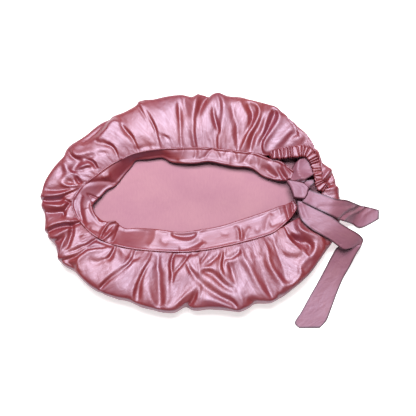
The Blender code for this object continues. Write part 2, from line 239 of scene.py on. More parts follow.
# Each fold is a line of (degrees round the mouth, place across the layer, size). A ridge rises
# gently on one side and drops on the other into a groove. Its steep side is the way to more degrees
# on a line that runs outwards, and the other way where side is -1.
Fold = namedtuple("Fold", "ridge_mm gentle_mm steep_mm groove_mm line side", defaults=(1,))
FOLDS = [Fold(*row) for row in (
    # far side, from the nape casing to the left
    (.8, 4, 4, 0, ((47, .2, 0), (47.5, .48, 1), (47, .75, .6))),
    (1.2, 4, 4, 0, ((54, .1, .5), (54, .2, .8), (52.7, .4, 1), (51, .5, 1), (48, .61, .6))),
    (0, 3, 4, 1.6, ((53, .09, .3), (52.5, .19, .8), (51.3, .34, 1), (49, .47, .7), (47, .6, 0))),
    (1.8, 5, 1.8, 1.4, ((54.5, .07, .4), (57.5, .1, .7), (58.5, .25, .8), (57, .45, .9),
     (55.5, .54, 1), (54.5, .65, 1), (54.5, .76, 1), (56, .82, .9), (58.5, .84, .6))),
    (0, 2.6, 3.4, 2.2, ((60, .2, .3), (58, .48, .7), (57, .6, 1), (56.2, .72, 1), (56.5, .78, .3))),
    (1.1, 3.5, 3.5, 0, ((59.5, .29, .3), (59.4, .5, 1), (58.8, .66, 1), (57, .8, .8),
     (56, .88, .3))),
    (0, 4, 4.5, 2.4, ((64.5, .08, .5), (64, .3, 1), (63.3, .42, 1), (61.5, .55, .6),
     (61, .67, .3))),
    (1.8, 5, 1.8, 1.4, ((69.5, .03, .5), (67.3, .27, .8), (65.5, .44, 1), (64, .54, 1),
     (62.8, .63, 1), (63, .72, 1), (64.3, .79, 1), (67.5, .84, .6))),
    (0, 3, 3.5, 2.6, ((66, .44, .4), (65.2, .56, .8), (65.3, .64, 1), (66.5, .71, 1),
     (68, .76, .3))),
    (1.2, 3.5, 3, 0, ((66.2, .49, .3), (67.5, .57, .9), (69.5, .66, 1), (70.8, .8, .8),
     (71, .9, .4))),
    (0, 6, 4.5, 2, ((71, .1, .4), (71.3, .3, 1), (71.8, .46, .9), (73.2, .58, .7), (74, .7, .3))),
    (1.3, 6, 2.5, .6, ((80.5, .03, .6), (80, .23, .9), (78.6, .45, 1), (77.5, .6, 1.1),
     (77.7, .75, 1.2), (79.5, .92, 1))),
    (0, 1.8, 3.2, 2.2, ((79.8, .24, 0), (79.9, .36, .8), (80.8, .48, 1), (81.3, .57, .9),
     (81, .68, .3))),
    (0, 1.5, 1.5, .6, ((89, .01, 1), (88.5, .2, 1), (88, .38, 1), (87.6, .52, .7))),
    (1.8, 5, 2.4, .8, ((92, .02, .5), (91.6, .3, .8), (90.5, .5, .9), (88.5, .67, 1.1),
     (87, .82, 1.2), (86, 1.05, 1)), -1),
    (0, 3.5, 2, 2.8, ((88.2, .52, .2), (86.6, .64, .9), (85, .73, 1.1), (83, .87, 1.1),
     (82, 1.1, .6))),
    (0, 6, 5, 1.3, ((93, .5, .2), (93, .65, 1), (92.5, .8, .9), (92.5, .92, .4))),
    (0, 3, 2, 2, ((99, .03, .4), (97.5, .3, .5), (96.6, .48, .8), (95.7, .6, 1.2), (95, .75, .5))),
    (.5, 3, 1.6, 1.4, ((108, .34, .2), (106, .31, .8), (104, .26, 1), (101.8, .19, .3)), -1),
    (.7, 5, 1.4, 1.7, ((108.5, .02, .3), (108, .17, .8), (107.5, .33, 1), (107.4, .47, 1),
     (108, .58, 1), (108.8, .7, .7), (109.4, .8, .3))),
    (1.2, 2, 2, 0, ((109.2, .1, .4), (108.8, .35, .8), (109.4, .58, 1.1), (110.2, .8, 1.7),
     (110.3, 1.05, 2))),
    (0, 1.6, 1.4, 1.6, ((109.5, .47, 0), (110.3, .58, .6), (111, .72, 1.2), (111, .84, .8))),
    (.7, 4.5, 1.4, 1.7, ((119, .08, .4), (118.7, .26, .8), (118.8, .41, 1), (119.8, .51, 1),
     (120.8, .6, .6), (121.3, .65, 0))),
    (0, 3, 3, 1, ((110, .08, .5), (114, .09, 1), (118.5, .09, 1), (122, .12, .6))),
    (2.2, 6, 5, .6, ((136, .57, .6), (131, .6, 1), (128, .635, 1), (126, .69, 1), (124, .7, 1),
     (122.3, .66, .8), (121.3, .6, .4))),
    (0, 6, 8, 2.8, ((144, .72, .3), (139, .72, .8), (133, .76, 1), (128, .84, 1), (124, .95, .8))),
    (.7, 4, 1.3, 1.7, ((131.3, .06, .3), (130.2, .2, .8), (130, .33, 1), (131, .43, 1.1),
     (133, .5, 1), (136, .56, .7), (138, .58, 0))),
    (0, 3, 3, 1, ((135, .25, .2), (137.5, .33, .9), (140, .38, .8), (142, .4, .2))),
    (1.7, 5, 3, 1.4, ((140.5, .46, .5), (144.5, .5, .9), (148, .54, 1), (150, .6, 1),
     (149.5, .69, .8), (148, .76, .4))),
    (0, 3, 3, 2.4, ((149, .5, .5), (153.5, .5, 1), (158, .49, 1.1), (160.5, .5, .8))),
    (.7, 4, 1.5, 2.3, ((149, .47, .2), (147, .44, .7), (145.6, .37, 1), (145.3, .27, 1),
     (146, .18, 1), (147.6, .08, .5)), -1),
    (1.2, 4, 2, .9, ((158.5, .44, .5), (155.5, .43, 1), (152.5, .37, 1), (149.5, .29, 1),
     (148.2, .22, .5)), -1),
    (1.1, 2.5, 2.5, 0, ((159.5, .4, .8), (161.5, .48, 1), (166, .52, 1), (169.5, .48, 1),
     (170, .32, 1), (168, .16, .9), (165.5, .07, .4))),
    (0, 3, 1.6, 2.6, ((161, .38, .3), (162.3, .3, .8), (164, .2, 1.1), (165.2, .04, .8)), -1),
    (0, 5, 5, 1.2, ((164.5, .45, .6), (166.5, .38, 1), (167, .25, .8))),
    (.7, 2, 1.6, .2, ((159.5, .4, .8), (161, .29, 1), (163, .15, 1), (164, .03, .5)), -1),
    (1.2, 4, 4, 0, ((156.5, .73, .5), (158, .66, 1), (160, .58, 1), (162, .54, .5))),
    (0, 3, 3, 1, ((158.5, .68, .3), (162, .62, 1), (165.5, .57, 1), (168, .56, .3))),
    (0, 5, 3, 1.3, ((171.5, .22, .4), (174, .43, 1), (175.2, .6, 1), (175.5, .85, .3))),
    # left end
    (1.6, 5, 2.4, 1.6, ((171.5, .1, .5), (175, .25, .8), (177.3, .38, 1), (179.2, .55, 1),
     (179.5, .85, .9), (179.5, 1.1, .3))),
    (0, 4, 4, 2.6, ((179.5, .27, .6), (181.5, .4, 1), (182.3, .6, 1), (181.5, .9, .9),
     (180.5, 1.1, .7))),
    (1.5, 3, 3.5, 0, ((184, .2, .6), (186, .3, .9), (187.5, .44, 1), (186, .55, 1), (184, .7, .9),
     (182.5, .95, .5))),
    (0, 1.4, 1.4, 2, ((181, .32, .5), (182.3, .22, 1), (183.8, .12, 1.2), (185.5, .01, .9))),
    (0, 4.5, 7, 3, ((190, .28, .5), (190.5, .4, 1), (190, .55, 1), (188.5, .77, .9), (187, 1, .5))),
    (0, 2.5, 1.8, 2.2, ((185.5, .06, .6), (188, .17, 1), (191, .27, 1), (194, .37, 1),
     (196.3, .45, .5))),
    (1.6, 4, 1.8, 2.2, ((203.5, .03, .6), (201.7, .23, 1), (199.2, .46, 1), (197.4, .62, 1),
     (197.5, .91, 1), (197.5, 1.1, .8))),
    (0, 2.5, 3, 2, ((204.8, .15, .5), (202.8, .33, 1), (200.3, .54, 1), (199, .75, 1),
     (198.8, .95, .7))),
    (1.3, 2.5, 3, 0, ((204, .2, .4), (204.8, .36, .9), (203.8, .58, 1), (203, .74, 1),
     (200.5, 1.1, .6))),
    (0, 3, 4, 2.2, ((206.3, .56, .8), (205.8, .72, 1), (204.5, .88, 1), (203.5, 1, .7))),
    (1.2, 1.4, 1.4, 0, ((207.3, .56, .4), (208, .63, .9), (211, .8, 1), (212.8, .94, 1),
     (213.5, 1.05, .6))),
    (0, 1.5, 1.5, 1.6, ((207, .54, .5), (208.8, .585, .9), (210.5, .63, 1), (212.5, .7, .6))),
    (0, 2.4, 2.6, 3, ((203, .22, .5), (204.5, .29, .9), (206.2, .36, 1.1), (208.8, .48, 1.1),
     (211.2, .57, 1), (213.2, .66, .6))),
    (0, 2, 1.5, .9, ((212.5, .33, .3), (214, .27, 1), (216, .16, 1), (217.5, .06, .4))),
    (0, 1.8, 2, 2.4, ((221.8, .04, .5), (221, .16, 1), (219.8, .35, 1), (217.5, .51, 1),
     (213.7, .71, .5))),
    (0, 1.6, 1.6, 1.6, ((221.5, .09, .6), (224, .075, 1), (228, .06, 1), (232, .06, .6))),
    (.9, 1.6, 1.6, 0, ((214.3, .76, .5), (216.5, .65, 1), (218.6, .56, 1), (219.2, .47, 1),
     (220.3, .38, .5))),
    (0, 2.2, 2.2, 3, ((213.8, 1.05, .8), (215, .88, 1), (217, .73, 1.1), (218.7, .62, 1),
     (220.2, .51, 1), (221.8, .4, .9), (225.5, .24, .7), (229.5, .12, .6))),
    (1.2, 5, 2, 0, ((232, .09, .4), (228.5, .17, .8), (224.5, .3, 1), (222, .43, 1),
     (220.5, .57, 1), (221, .7, 1), (223, .76, .8), (226, .78, .3)), -1),
    (0, 4, 5, 2.6, ((216.5, .8, .7), (219, .86, 1), (222, .93, .8))),
    (0, 3, 2, 1.6, ((224, .52, .2), (226, .53, .9), (228.5, .52, 1), (230.3, .47, 1),
     (231, .4, .4))),
    (.5, 3, 1.3, 2, ((232, .04, .6), (232.2, .18, 1), (231.8, .32, 1), (230.8, .43, .6),
     (229.8, .48, 0))),
    (0, 2.5, 2.5, 1.4, ((234, .2, .4), (233.5, .35, 1), (233, .48, .6))),
    # near side
    (0, 4, 4, 1.3, ((235, .06, .5), (237.5, .13, 1), (240, .2, .8), (241, .26, .3))),
    (1, 5, 1.2, 1.6, ((241.2, .02, .5), (241.6, .15, .8), (241.5, .33, 1), (239.8, .47, 1),
     (236.6, .63, 1.1), (234.8, .8, 1.1), (234.8, .92, .5))),
    (.8, 1, 3, 0, ((242.5, .1, .4), (242.7, .25, .8), (242.6, .4, 1), (239.3, .57, 1),
     (237, .76, 1), (236.3, .88, 1), (235.2, .93, .6))),
    (0, 1.6, 1.6, 1.2, ((237.3, .62, .3), (236.4, .74, 1), (235.6, .86, .8))),
    (0, 2.5, 2, 1.3, ((241.8, .2, .3), (243, .22, 1), (244.3, .2, 1), (245.3, .14, .5))),
    (1, 5, 1.2, 1.4, ((249, .08, .4), (249, .26, .9), (248.2, .48, 1), (248, .65, 1),
     (248.6, .8, 1), (250, .91, .8), (251.5, .94, .5))),
    (.8, 1.2, 3, 0, ((250.2, .2, .4), (249.9, .45, .9), (250.3, .6, 1), (251.6, .69, 1),
     (253, .79, 1), (253, .86, .9), (252, .93, .6))),
    (0, 2, 2, 1.6, ((249.3, .6, .4), (250, .7, 1), (250.8, .8, 1), (251.3, .87, .4))),
    (0, 7, 4, 2.2, ((252.5, .1, .4), (254, .35, .7), (256, .52, .9), (258, .66, 1),
     (259.8, .85, .9))),
    (.6, 2.5, 3, 0, ((256, .06, .5), (257.6, .3, .9), (259.4, .5, 1), (261.2, .68, 1),
     (261, .9, .7))),
    (1.2, 4, 3, 0, ((251.8, .56, .3), (253, .63, .8), (255, .74, 1), (258, .88, 1),
     (260.2, 1.1, 1))),
    (1.5, 4, 3.5, 0, ((260.3, 1.15, 1), (261.5, .92, 1), (265, .79, 1), (267.3, .73, 1),
     (269.7, .65, 1), (273, .545, .6))),
    (0, 1.4, 2.2, 2.4, ((258.6, .02, .6), (258.5, .15, 1), (259, .28, 1), (260.6, .48, 1.1),
     (262, .57, .5))),
    (.6, 1, 1, 0, ((258, .28, .4), (258.8, .4, 1), (260, .53, .5))),
    (0, 1.4, 1.6, 1.8, ((258.7, .04, .7), (261.5, .055, 1), (267.5, .07, 1), (270.3, .05, .7))),
    (0, 1.8, 2.2, 2.4, ((264.8, .08, .8), (264.2, .18, 1), (263, .29, 1), (261.6, .4, .9),
     (261.5, .49, .4))),
    (.8, 3, 2.4, 3.2, ((265.6, .18, .4), (268.3, .35, .8), (270.8, .46, 1), (273, .51, 1),
     (276.3, .58, 1), (282.3, .69, 1), (285.8, .74, 1), (287.5, .82, .8), (288, .9, .4)), -1),
    (0, 1.3, 1.3, 1.8, ((271.5, .29, .4), (271.8, .22, 1), (273, .13, 1), (274.3, .04, .6))),
    (0, 2.2, 3, 1.8, ((273.3, .34, .4), (275.5, .28, 1), (278, .2, 1), (280.5, .11, .8))),
    (.8, 1.2, 1.2, 0, ((270, .12, .5), (271, .28, 1), (272, .42, 1), (272.2, .51, .5))),
    (0, 2.6, 2.8, 3.6, ((272.8, .42, .5), (275.5, .445, 1), (278, .48, 1), (280.3, .53, 1.1),
     (283, .59, 1.1), (285.7, .63, 1), (288, .65, .5))),
    (1, 3, 1.6, 0, ((271.8, .37, .4), (274.5, .365, .9), (276.8, .39, 1), (278.8, .45, 1),
     (284.8, .57, 1), (288, .6, .6))),
    (1.1, 1.8, 2, 0, ((272.8, .46, .4), (276, .505, .9), (283.7, .64, 1), (287.5, .68, 1),
     (289.2, .76, 1), (288.8, .88, .8), (287.5, .94, .4))),
    (1.2, 3.5, 3.5, 0, ((274, .745, .6), (277.5, .76, 1), (281.5, .81, 1), (285, .89, 1),
     (288.5, .95, .8))),
    (0, 2, 2.4, 3.4, ((272.3, .64, .3), (271.5, .71, .8), (270.5, .82, 1.2), (269.3, .95, 1.6),
     (269, 1.15, 1.6))),
    (.9, 1.6, 2, 0, ((273, .55, .6), (273.1, .63, 1), (272.8, .71, 1), (273.3, .78, .6))),
    (1, 4, 1.6, 1.6, ((281.8, .12, .5), (281.2, .24, 1), (281, .35, 1), (281.5, .44, 1),
     (283, .51, 1), (285.2, .56, .9), (288.3, .61, .4))),
    (0, 2, 2.5, 2.2, ((282.3, .23, .8), (285.5, .24, 1), (288.5, .2, 1), (291.5, .13, .9))),
    (0, 4, 5, 2.6, ((284, .3, .5), (285.3, .38, .9), (286, .46, 1), (287, .54, .6), (288, .6, .3))),
    (0, 8, 7, 1.2, ((287, .3, .6), (288.5, .4, 1), (289, .5, .8), (289, .6, .3))),
    (.9, 4, 4, .2, ((291.4, .1, .5), (292.3, .3, 1), (294, .47, 1), (296.2, .62, 1.1),
     (298.7, .83, 1.1), (300, 1.1, .8))),
    (0, 6, 6, 1, ((298, .12, .6), (298.5, .3, 1), (299, .45, 1), (300, .7, 1.1), (299.8, .9, .3))),
    (0, 2.5, 2, .6, ((296.5, .27, .3), (298.5, .3, 1), (301.5, .35, .6))),
    (1, 4, 3.5, .3, ((304.6, .03, .5), (305.1, .18, .8), (304.8, .34, 1), (303.6, .5, 1.1),
     (304.5, .58, 1.2), (306.7, .76, 1))),
    (0, 7, 8, 1.5, ((311, .12, .6), (310, .28, .9), (309.5, .45, 1), (309, .64, 1),
     (308.5, .75, .7))),
    (0, 2.5, 2, 1.6, ((307.6, .71, .6), (309, .755, 1), (311, .76, .6))),
    (.8, 4, 1.6, 1.4, ((321.7, .05, .5), (320.2, .22, 1), (320, .38, 1), (321, .48, 1),
     (321.8, .57, .5))),
    (.9, 5, 1.8, 1.4, ((312.5, .44, .3), (313.8, .48, .9), (316, .525, 1), (319.3, .575, 1),
     (323, .61, .6)), -1),
    (0, 2.4, 3, 2.6, ((322, .25, .4), (322.8, .4, 1), (324.3, .52, 1), (325, .59, .5))),
    (0, 3.4, 3.4, 3.2, ((322.5, .22, .5), (323.8, .4, 1), (326.5, .52, 1.1), (328, .58, 1.1),
     (326.5, .63, 1.1), (322.5, .655, .6))),
    (1.8, 4, 4, 0, ((334.5, .02, .5), (331.5, .18, .9), (330, .31, 1), (331, .46, 1),
     (332.7, .54, .6), (333, .61, .3), (331, .66, .3), (328.2, .69, .7), (325, .7, 1),
     (321.5, .68, .9), (318.7, .68, .9), (316.5, .725, 1), (315.2, .79, 1), (312.7, .83, 1),
     (309.5, .84, 1), (306.6, .79, 1), (303.8, .82, 1), (301.2, .9, .8))),
    (0, 3, 3, 1.5, ((335.5, .62, .4), (335.5, .72, 1), (334, .85, 1), (333, 1, .5))),
    (0, 2, 2, 1.4, ((317.6, .7, .4), (317.3, .75, 1), (317, .8, .4))),
    (0, 4, 4, 3, ((291.5, .76, .3), (292.8, .84, 1), (294.3, .95, 1.2), (295, 1.15, 1))),
    (0, 3, 3, 2.4, ((301.8, .8, .3), (302.8, .88, 1), (303.8, 1, 1))),
    # right end, beyond the casing
    (0, 5, 6, 2, ((346, .2, 1), (345, .6, 1), (344, 1, 1))),
    (1.6, 5, 4, 1.4, ((7, .05, 1), (6, .5, 1), (5, 1, 1))),
    (2, 5, 4, 1.8, ((17, .05, 1), (16, .4, 1), (15, .9, 1)), -1),
    (1.2, 5, 4, 1.2, ((30, .1, 1), (29, .5, 1), (27, 1, 1))),
)]
GROOVE_AT = 1.1  # a groove's middle, in widths of the steep side from the ridge
FOLD_SAMPLES = 28
FOLD_GAIN = 1.5
NARROWEST = 0.4  # how wide a fold is where it starts, in its full widths
FACET = 1.6  # at 1 the sides of a fold are flat, and larger values hollow them
GROOVE_SPREAD = 0.8  # how wide a groove is on its far side, in widths of the gentle side
FOLD_REACH = 3  # how far from its line a fold is worked out, in its widths
FOLD_BEYOND = 0.6  # how far past the end of its line
FOLDS_END = 1.9
SHORTEST_DEGREE_MM = 0.6
OPEN_START = 0.12  # a fold that starts nearer to the seam than this runs right into it
FOLD_FADE_MM = 3.0
SEAM_SHARE = 0.3  # how much of each fold the seam lets through
SEAM_FADE = 0.05
UNDER_END = 1.8  # the folds end below the rim, before the cloth lies on the floor
UNDER_FADE = 0.5
RIM_CALM = 0.6  # how much flatter the folds are on the rim
RIM_CALM_AT = 1.05
RIM_CALM_HALF = 0.18
DOME_MM = 8.0  # the air under the middle of the bag holds it off the floor
DOME_FROM = 2.05
DOME_OVER = 0.3
Bunch = namedtuple("Bunch", "x_mm y_mm height_mm half_mm")
BUNCHES = [Bunch(*row) for row in (  # of the bottom: two by the nape, the rest by the far band
    (110, 41.5, 15, 15), (141, 9, 17, 15), (82, 6, 5, 28), (42, 20, 5, 30), (2, 24, 4, 30),
)]
BUNCH_FROM = 1.7
GATHER_SEED = 3
SEAM_ROUND_MM = 640
GATHER_PITCH_MM = 6.5
GATHER_UNEVEN = 0.45
GATHER_MM = 0.6
GATHER_SIZES = (0.3, 1)
GATHER_HALF = 0.3  # in pitches
GATHER_REACH = 0.14
GATHER_REACHES = (0.6, 1.6)
SIDE_GATHERS = 96
SIDE_GATHER_MM = 1.5
SIDE_GATHER_HALF_MM = (2.5, 6)
SIDE_GATHER_AT = 1.4
SIDE_GATHER_REACH = 0.3
CLOTH = {  # in Blender's names: light silk, cut 1.5% too large and puffed up a little
    "quality": 6, "mass": 0.1, "air_damping": 2, "tension_stiffness": 20,
    "compression_stiffness": 20, "shear_stiffness": 8, "bending_stiffness": 0.5,
    "tension_damping": 10, "compression_damping": 10, "shear_damping": 10, "bending_damping": 1,
    "pin_stiffness": 1.0, "shrink_min": -0.015, "use_pressure": True,
    "uniform_pressure_force": 0.5,
}
SETTLE_FRAMES = 20
HELD_AT_SEAM = 0.06
HELD_FROM = 1.3  # from here the tucked side and the bottom are held as well
HELD_OVER = 0.4
HELD_LEAST = 0.02
SMOOTH_ROUNDS = 9
SATIN_COLOURS = ("#6C1523", "#7A2016")
SATIN_SHINE = (0.77, 0.71, 0.92, 1)
CREPE_COLOURS = ("#9F7081", "#A87A87")
DYE_DRIFT_MM = 45
GRAIN_SHARE = 0.35  # how much of the dye's drift follows the threads
GLOSS_SPREAD = 0.04


def smooth_rows(rows, place):
    """Rows between the given ones, on a smooth curve through them; place counts rows."""
    rows = np.asarray(rows, float)
    place = np.clip(np.atleast_1d(np.asarray(place, float)), 0, len(rows) - 1)
    first = np.minimum(place.astype(int), len(rows) - 2)
    share = (place - first)[..., None]
    before, one, two, after = (rows[np.clip(first + k, 0, len(rows) - 1)] for k in (-1, 0, 1, 2))
    slope_in = (two - before) / 2
    slope_out = (after - one) / 2
    bend = 3 * (two - one) - 2 * slope_in - slope_out
    twist = slope_in + slope_out - 2 * (two - one)
    return one + slope_in * share + bend * share**2 + twist * share**3


def ease(share):
    """A share of 0 to 1, bent so that it starts and ends level."""
    share = np.clip(share, 0, 1)
    return share * share * (3 - 2 * share)


def hill(away, half):
    """A smooth hill of height 1, seen from a distance away from its middle."""
    return np.exp(-((away / half) ** 2))


def turn_from(around, centre):
    """The degrees from a centre, the shorter way round."""
    return (around - centre + 180) % 360 - 180


def section_values(around):
    """Columns of the crown's section at any angles round the mouth."""
    ring = np.array(SECTIONS[-2:] + SECTIONS + SECTIONS[:3], float)
    ring[:2, 0] -= 360
    ring[-3:, 0] += 360
    shape_of = np.shape(around)
    values = smooth_rows(ring, np.interp(np.ravel(around) % 360, ring[:, 0], np.arange(len(ring))))
    return [values[:, k].reshape(shape_of) for k in range(1, len(Section._fields))]


def plain_crown(around, out):
    """The crown's surface without its folds."""
    around, out = np.broadcast_arrays(np.asarray(around, float), np.asarray(out, float))
    seam_reach, seam_mm, top_mm, rim_reach, rim_mm, tuck_mm, shoulder = section_values(around)
    angle = np.radians(around)
    turn = np.stack([np.cos(angle), np.sin(angle)], -1)
    seam = turn * [SEAM_HALF_LENGTH, SEAM_HALF_WIDTH] * seam_reach[..., None]
    seam = seam + [SEAM_CENTRE_X, 0]
    rim = turn * [RIM_HALF_LENGTH, RIM_HALF_WIDTH] * rim_reach[..., None]
    points = np.array(RIM_POINTS, float)
    rim_place = np.interp(around.ravel() % 360, points[:, 0], np.arange(len(points)))
    outward = smooth_rows(points[:, 1:], rim_place)[:, 0].reshape(around.shape)
    risen = (out - RIM_PUSH_FROM) / (RIM_PUSH_WHOLE - RIM_PUSH_FROM)
    push = outward * MM * ease(risen)
    rim = rim * (1 + push / np.linalg.norm(rim, axis=-1))[..., None]
    climb = np.clip(out / TOP_AT, 0, 1)
    roll = np.clip((out - TOP_AT) / (1 - TOP_AT), 0, 1) * math.pi / 2
    under = np.clip(out - 1, 0, 1) * math.pi / 2
    reach = TOP_REACH * climb + (1 - TOP_REACH) * np.sin(roll)
    plan = seam + (rim - seam) * reach[..., None]
    inward = tuck_mm * MM * (1 - np.cos(under)) / np.linalg.norm(rim, axis=-1)
    plan = plan * ((1 - inward) * (1 - np.clip(out - 2, 0, 1)))[..., None]
    z = seam_mm + (top_mm - seam_mm) * (1 - (1 - climb) ** RISE_POWER)
    fall = (1 - np.sin(roll) ** shoulder) ** (1 / shoulder)
    z = np.where(out > TOP_AT, rim_mm + (top_mm - rim_mm) * fall, z) * MM
    floor_z = SILK / 2
    z = np.where(out > 1, floor_z + (rim_mm * MM - floor_z) * (1 - np.sin(under)), z)
    return np.concatenate([plan, z[..., None]], -1)


def facet(away):
    """The fall of a fold's side from its crest or its groove, nearly straight and ending softly."""
    return np.maximum(0, 1 - away / FACET) ** FACET


def fold_lift(folds, around, out, mm_a_degree, mm_an_out, fade_mm, edge):
    """How far the folds lift the cloth off its plain surface, in millimetres. They fade out at
    their ends, except at the seam and past the cloth's edge."""
    lift = np.zeros_like(around)
    for fold in folds:
        points = [(*point, 1.0)[:3] for point in fold.line]
        line = smooth_rows(points, np.linspace(0, len(points) - 1, FOLD_SAMPLES))
        reach = FOLD_REACH * max(fold.gentle_mm, fold.steep_mm)
        apart = turn_from(around, line[:, 0].mean())
        spread = np.ptp(line[:, 0]) / 2 + reach / np.maximum(mm_a_degree, SHORTEST_DEGREE_MM)
        last = min(line[:, 1].max() + FOLD_BEYOND, FOLDS_END)
        near = (np.abs(apart) < spread) & (out < last)
        x = turn_from(around[near][:, None], line[None, :, 0]) * mm_a_degree[near][:, None]
        y = (out[near][:, None] - line[None, :, 1]) * mm_an_out[near][:, None]
        step_x = x[:, :-1] - x[:, 1:]
        step_y = y[:, :-1] - y[:, 1:]
        length = np.hypot(step_x, step_y)
        along = np.clip((x[:, :-1] * step_x + y[:, :-1] * step_y) / length**2, 0, 1)
        off_x = x[:, :-1] - along * step_x
        off_y = y[:, :-1] - along * step_y
        away = np.hypot(off_x, off_y)
        nearest = away.argmin(1)
        row = np.arange(len(nearest))
        away = away[row, nearest]
        side = np.sign(off_x * step_y - off_y * step_x)[row, nearest]
        signed = away * side * fold.side
        travelled = np.concatenate([np.zeros((len(row), 1)), np.cumsum(length, 1)], 1)
        along = along[row, nearest]
        here = travelled[row, nearest] + along * length[row, nearest]
        fade = np.ones_like(here)
        if fold.line[-1][1] < edge:
            fade = np.minimum(1, (travelled[:, -1] - here) / fade_mm)
        if fold.line[0][1] > OPEN_START:
            fade = fade * np.minimum(1, here / fade_mm)
        size = line[nearest, 2] + along * (line[nearest + 1, 2] - line[nearest, 2])
        size = np.maximum(0, size)
        wide = NARROWEST + (1 - NARROWEST) * size
        width = np.where(signed > 0, fold.steep_mm, fold.gentle_mm) * wide
        ridge = fold.ridge_mm * facet(away / width)
        past = signed - (GROOVE_AT * fold.steep_mm * wide if fold.ridge_mm else 0)
        near_mm, far_mm = fold.steep_mm, GROOVE_SPREAD * fold.gentle_mm
        if not fold.ridge_mm:
            near_mm, far_mm = fold.gentle_mm, fold.steep_mm
        across = np.where(past > 0, far_mm, near_mm)
        groove = fold.groove_mm * facet(np.abs(past) / across / wide)
        lift[near] += ease(fade) * size * (ridge - groove)
    return lift


def cloth_grid(columns, rows):
    """A grid of faces, and each vertex's shares of the way across and along it."""
    shape = bmesh.new()
    bmesh.ops.create_grid(shape, x_segments=columns, y_segments=rows, size=1)
    places = np.array([v.co for v in shape.verts])
    return shape, (places[:, 0] + 1) / 2, (places[:, 1] + 1) / 2


def lay_cloth(shape, places, flat, **measures):
    """Puts a grid's vertices in their places, keeps measures of each and welds the edges that meet.
    flat is the cloth laid out for its UV map, where one unit is one metre."""
    for vertex, there in zip(shape.verts, places, strict=True):
        vertex.co = there
    shape.verts.index_update()
    layer = shape.loops.layers.uv.new("UVMap")
    for face in shape.faces:
        for loop in face.loops:
            loop[layer].uv = flat[loop.vert.index]
    for name, values in measures.items():
        layer = shape.verts.layers.float.new(name)
        for vertex, value in zip(shape.verts, values, strict=True):
            vertex[layer] = value
    bmesh.ops.remove_doubles(shape, verts=shape.verts, dist=WELD)
    bmesh.ops.recalc_face_normals(shape, faces=shape.faces)


def finish_piece(name, shape, material):
    """Turns a bmesh into a smooth-shaded piece."""
    mesh = bpy.data.meshes.new(name)
    shape.to_mesh(mesh)
    shape.free()
    mesh.materials.append(material)
    mesh.polygons.foreach_set("use_smooth", [True] * len(mesh.polygons))
    piece = bpy.data.objects.new(name, mesh)
    bpy.context.scene.collection.objects.link(piece)
    return piece


def settle(piece, held):
    """Lets the cloth, cut a little larger than its first shape, wrinkle and come to rest."""
    group = piece.vertex_groups.new(name="held")
    for index, weight in enumerate(held):
        group.add([index], float(weight), "REPLACE")
    modifier = piece.modifiers.new("Cloth", "CLOTH")
    modifier.settings.vertex_group_mass = "held"
    for key, value in CLOTH.items():
        setattr(modifier.settings, key, value)
    modifier.settings.effector_weights.gravity = 0
    modifier.collision_settings.use_collision = False
    modifier.collision_settings.use_self_collision = False
    scene = bpy.context.scene
    scene.frame_start, scene.frame_end = 1, SETTLE_FRAMES
    for number in range(1, SETTLE_FRAMES + 1):
        scene.frame_set(number)
    settled = piece.evaluated_get(bpy.context.evaluated_depsgraph_get()).to_mesh()
    places = np.zeros(len(settled.vertices) * 3)
    settled.vertices.foreach_get("co", places)
    piece.modifiers.remove(modifier)
    piece.data.vertices.foreach_set("co", places)
    piece.data.update()
    scene.frame_set(1)


def woven_silk(name, colours, roughness, thread_mm, float_mm, thread_deep_mm, crumple_mm,
               crumple_deep_mm):
    """Silk on its UV map: threads as fine streaks along the warp, a soft crumple, and dye that took
    a little unevenly. It also returns the cloth's coordinates and colour, for what is sewn on."""
    material, tree, shader = new_material(name)
    cloth = add_node(tree, "ShaderNodeUVMap", {"uv_map": "UVMap"}).outputs["UV"]
    streaks = add_node(tree, "ShaderNodeMapping",
                       {"Scale": (1 / (thread_mm * MM), 1 / (float_mm * MM), 1)},
                       {"Vector": cloth}).outputs["Vector"]
    threads = add_node(tree, "ShaderNodeTexNoise", {"Scale": 1.0, "Detail": 2.0},
                       {"Vector": streaks}).outputs["Fac"]
    crumple = add_node(tree, "ShaderNodeTexNoise",
                       {"Scale": 1 / (crumple_mm * MM), "Detail": 3.0, "Distortion": 0.5},
                       {"Vector": cloth}).outputs["Fac"]
    drift = add_node(tree, "ShaderNodeTexNoise",
                     {"Scale": 1 / (DYE_DRIFT_MM * MM), "Detail": 2.0},
                     {"Vector": cloth}).outputs["Fac"]
    dye = add_node(tree, "ShaderNodeMix", {"data_type": "FLOAT", 0: GRAIN_SHARE},
                   {2: drift, 3: threads}).outputs[0]
    share = add_node(tree, "ShaderNodeMapRange", NOISE_RANGE, {"Value": dye}).outputs["Result"]
    colour = add_node(tree, "ShaderNodeMix",
                      {"data_type": "RGBA", 6: linear(colours[0]), 7: linear(colours[1])},
                      {0: share}).outputs[2]
    tree.links.new(colour, shader.inputs["Base Color"])
    gloss = {"To Min": roughness - GLOSS_SPREAD, "To Max": roughness + GLOSS_SPREAD}
    rough = add_node(tree, "ShaderNodeMapRange", NOISE_RANGE | gloss, {"Value": threads})
    tree.links.new(rough.outputs["Result"], shader.inputs["Roughness"])
    soft = add_node(tree, "ShaderNodeBump", {"Distance": crumple_deep_mm * MM}, {"Height": crumple})
    fine = add_node(tree, "ShaderNodeBump", {"Distance": thread_deep_mm * MM},
                    {"Height": threads, "Normal": soft.outputs["Normal"]})
    tree.links.new(fine.outputs["Normal"], shader.inputs["Normal"])
    return material, shader, cloth, colour


def satin_shine(shader, ior, level):
    """The long floats of a satin weave shine strongly, in a cooler tone than the dye."""
    set_inputs(shader, {"IOR": ior, "Specular IOR Level": level, "Specular Tint": SATIN_SHINE})


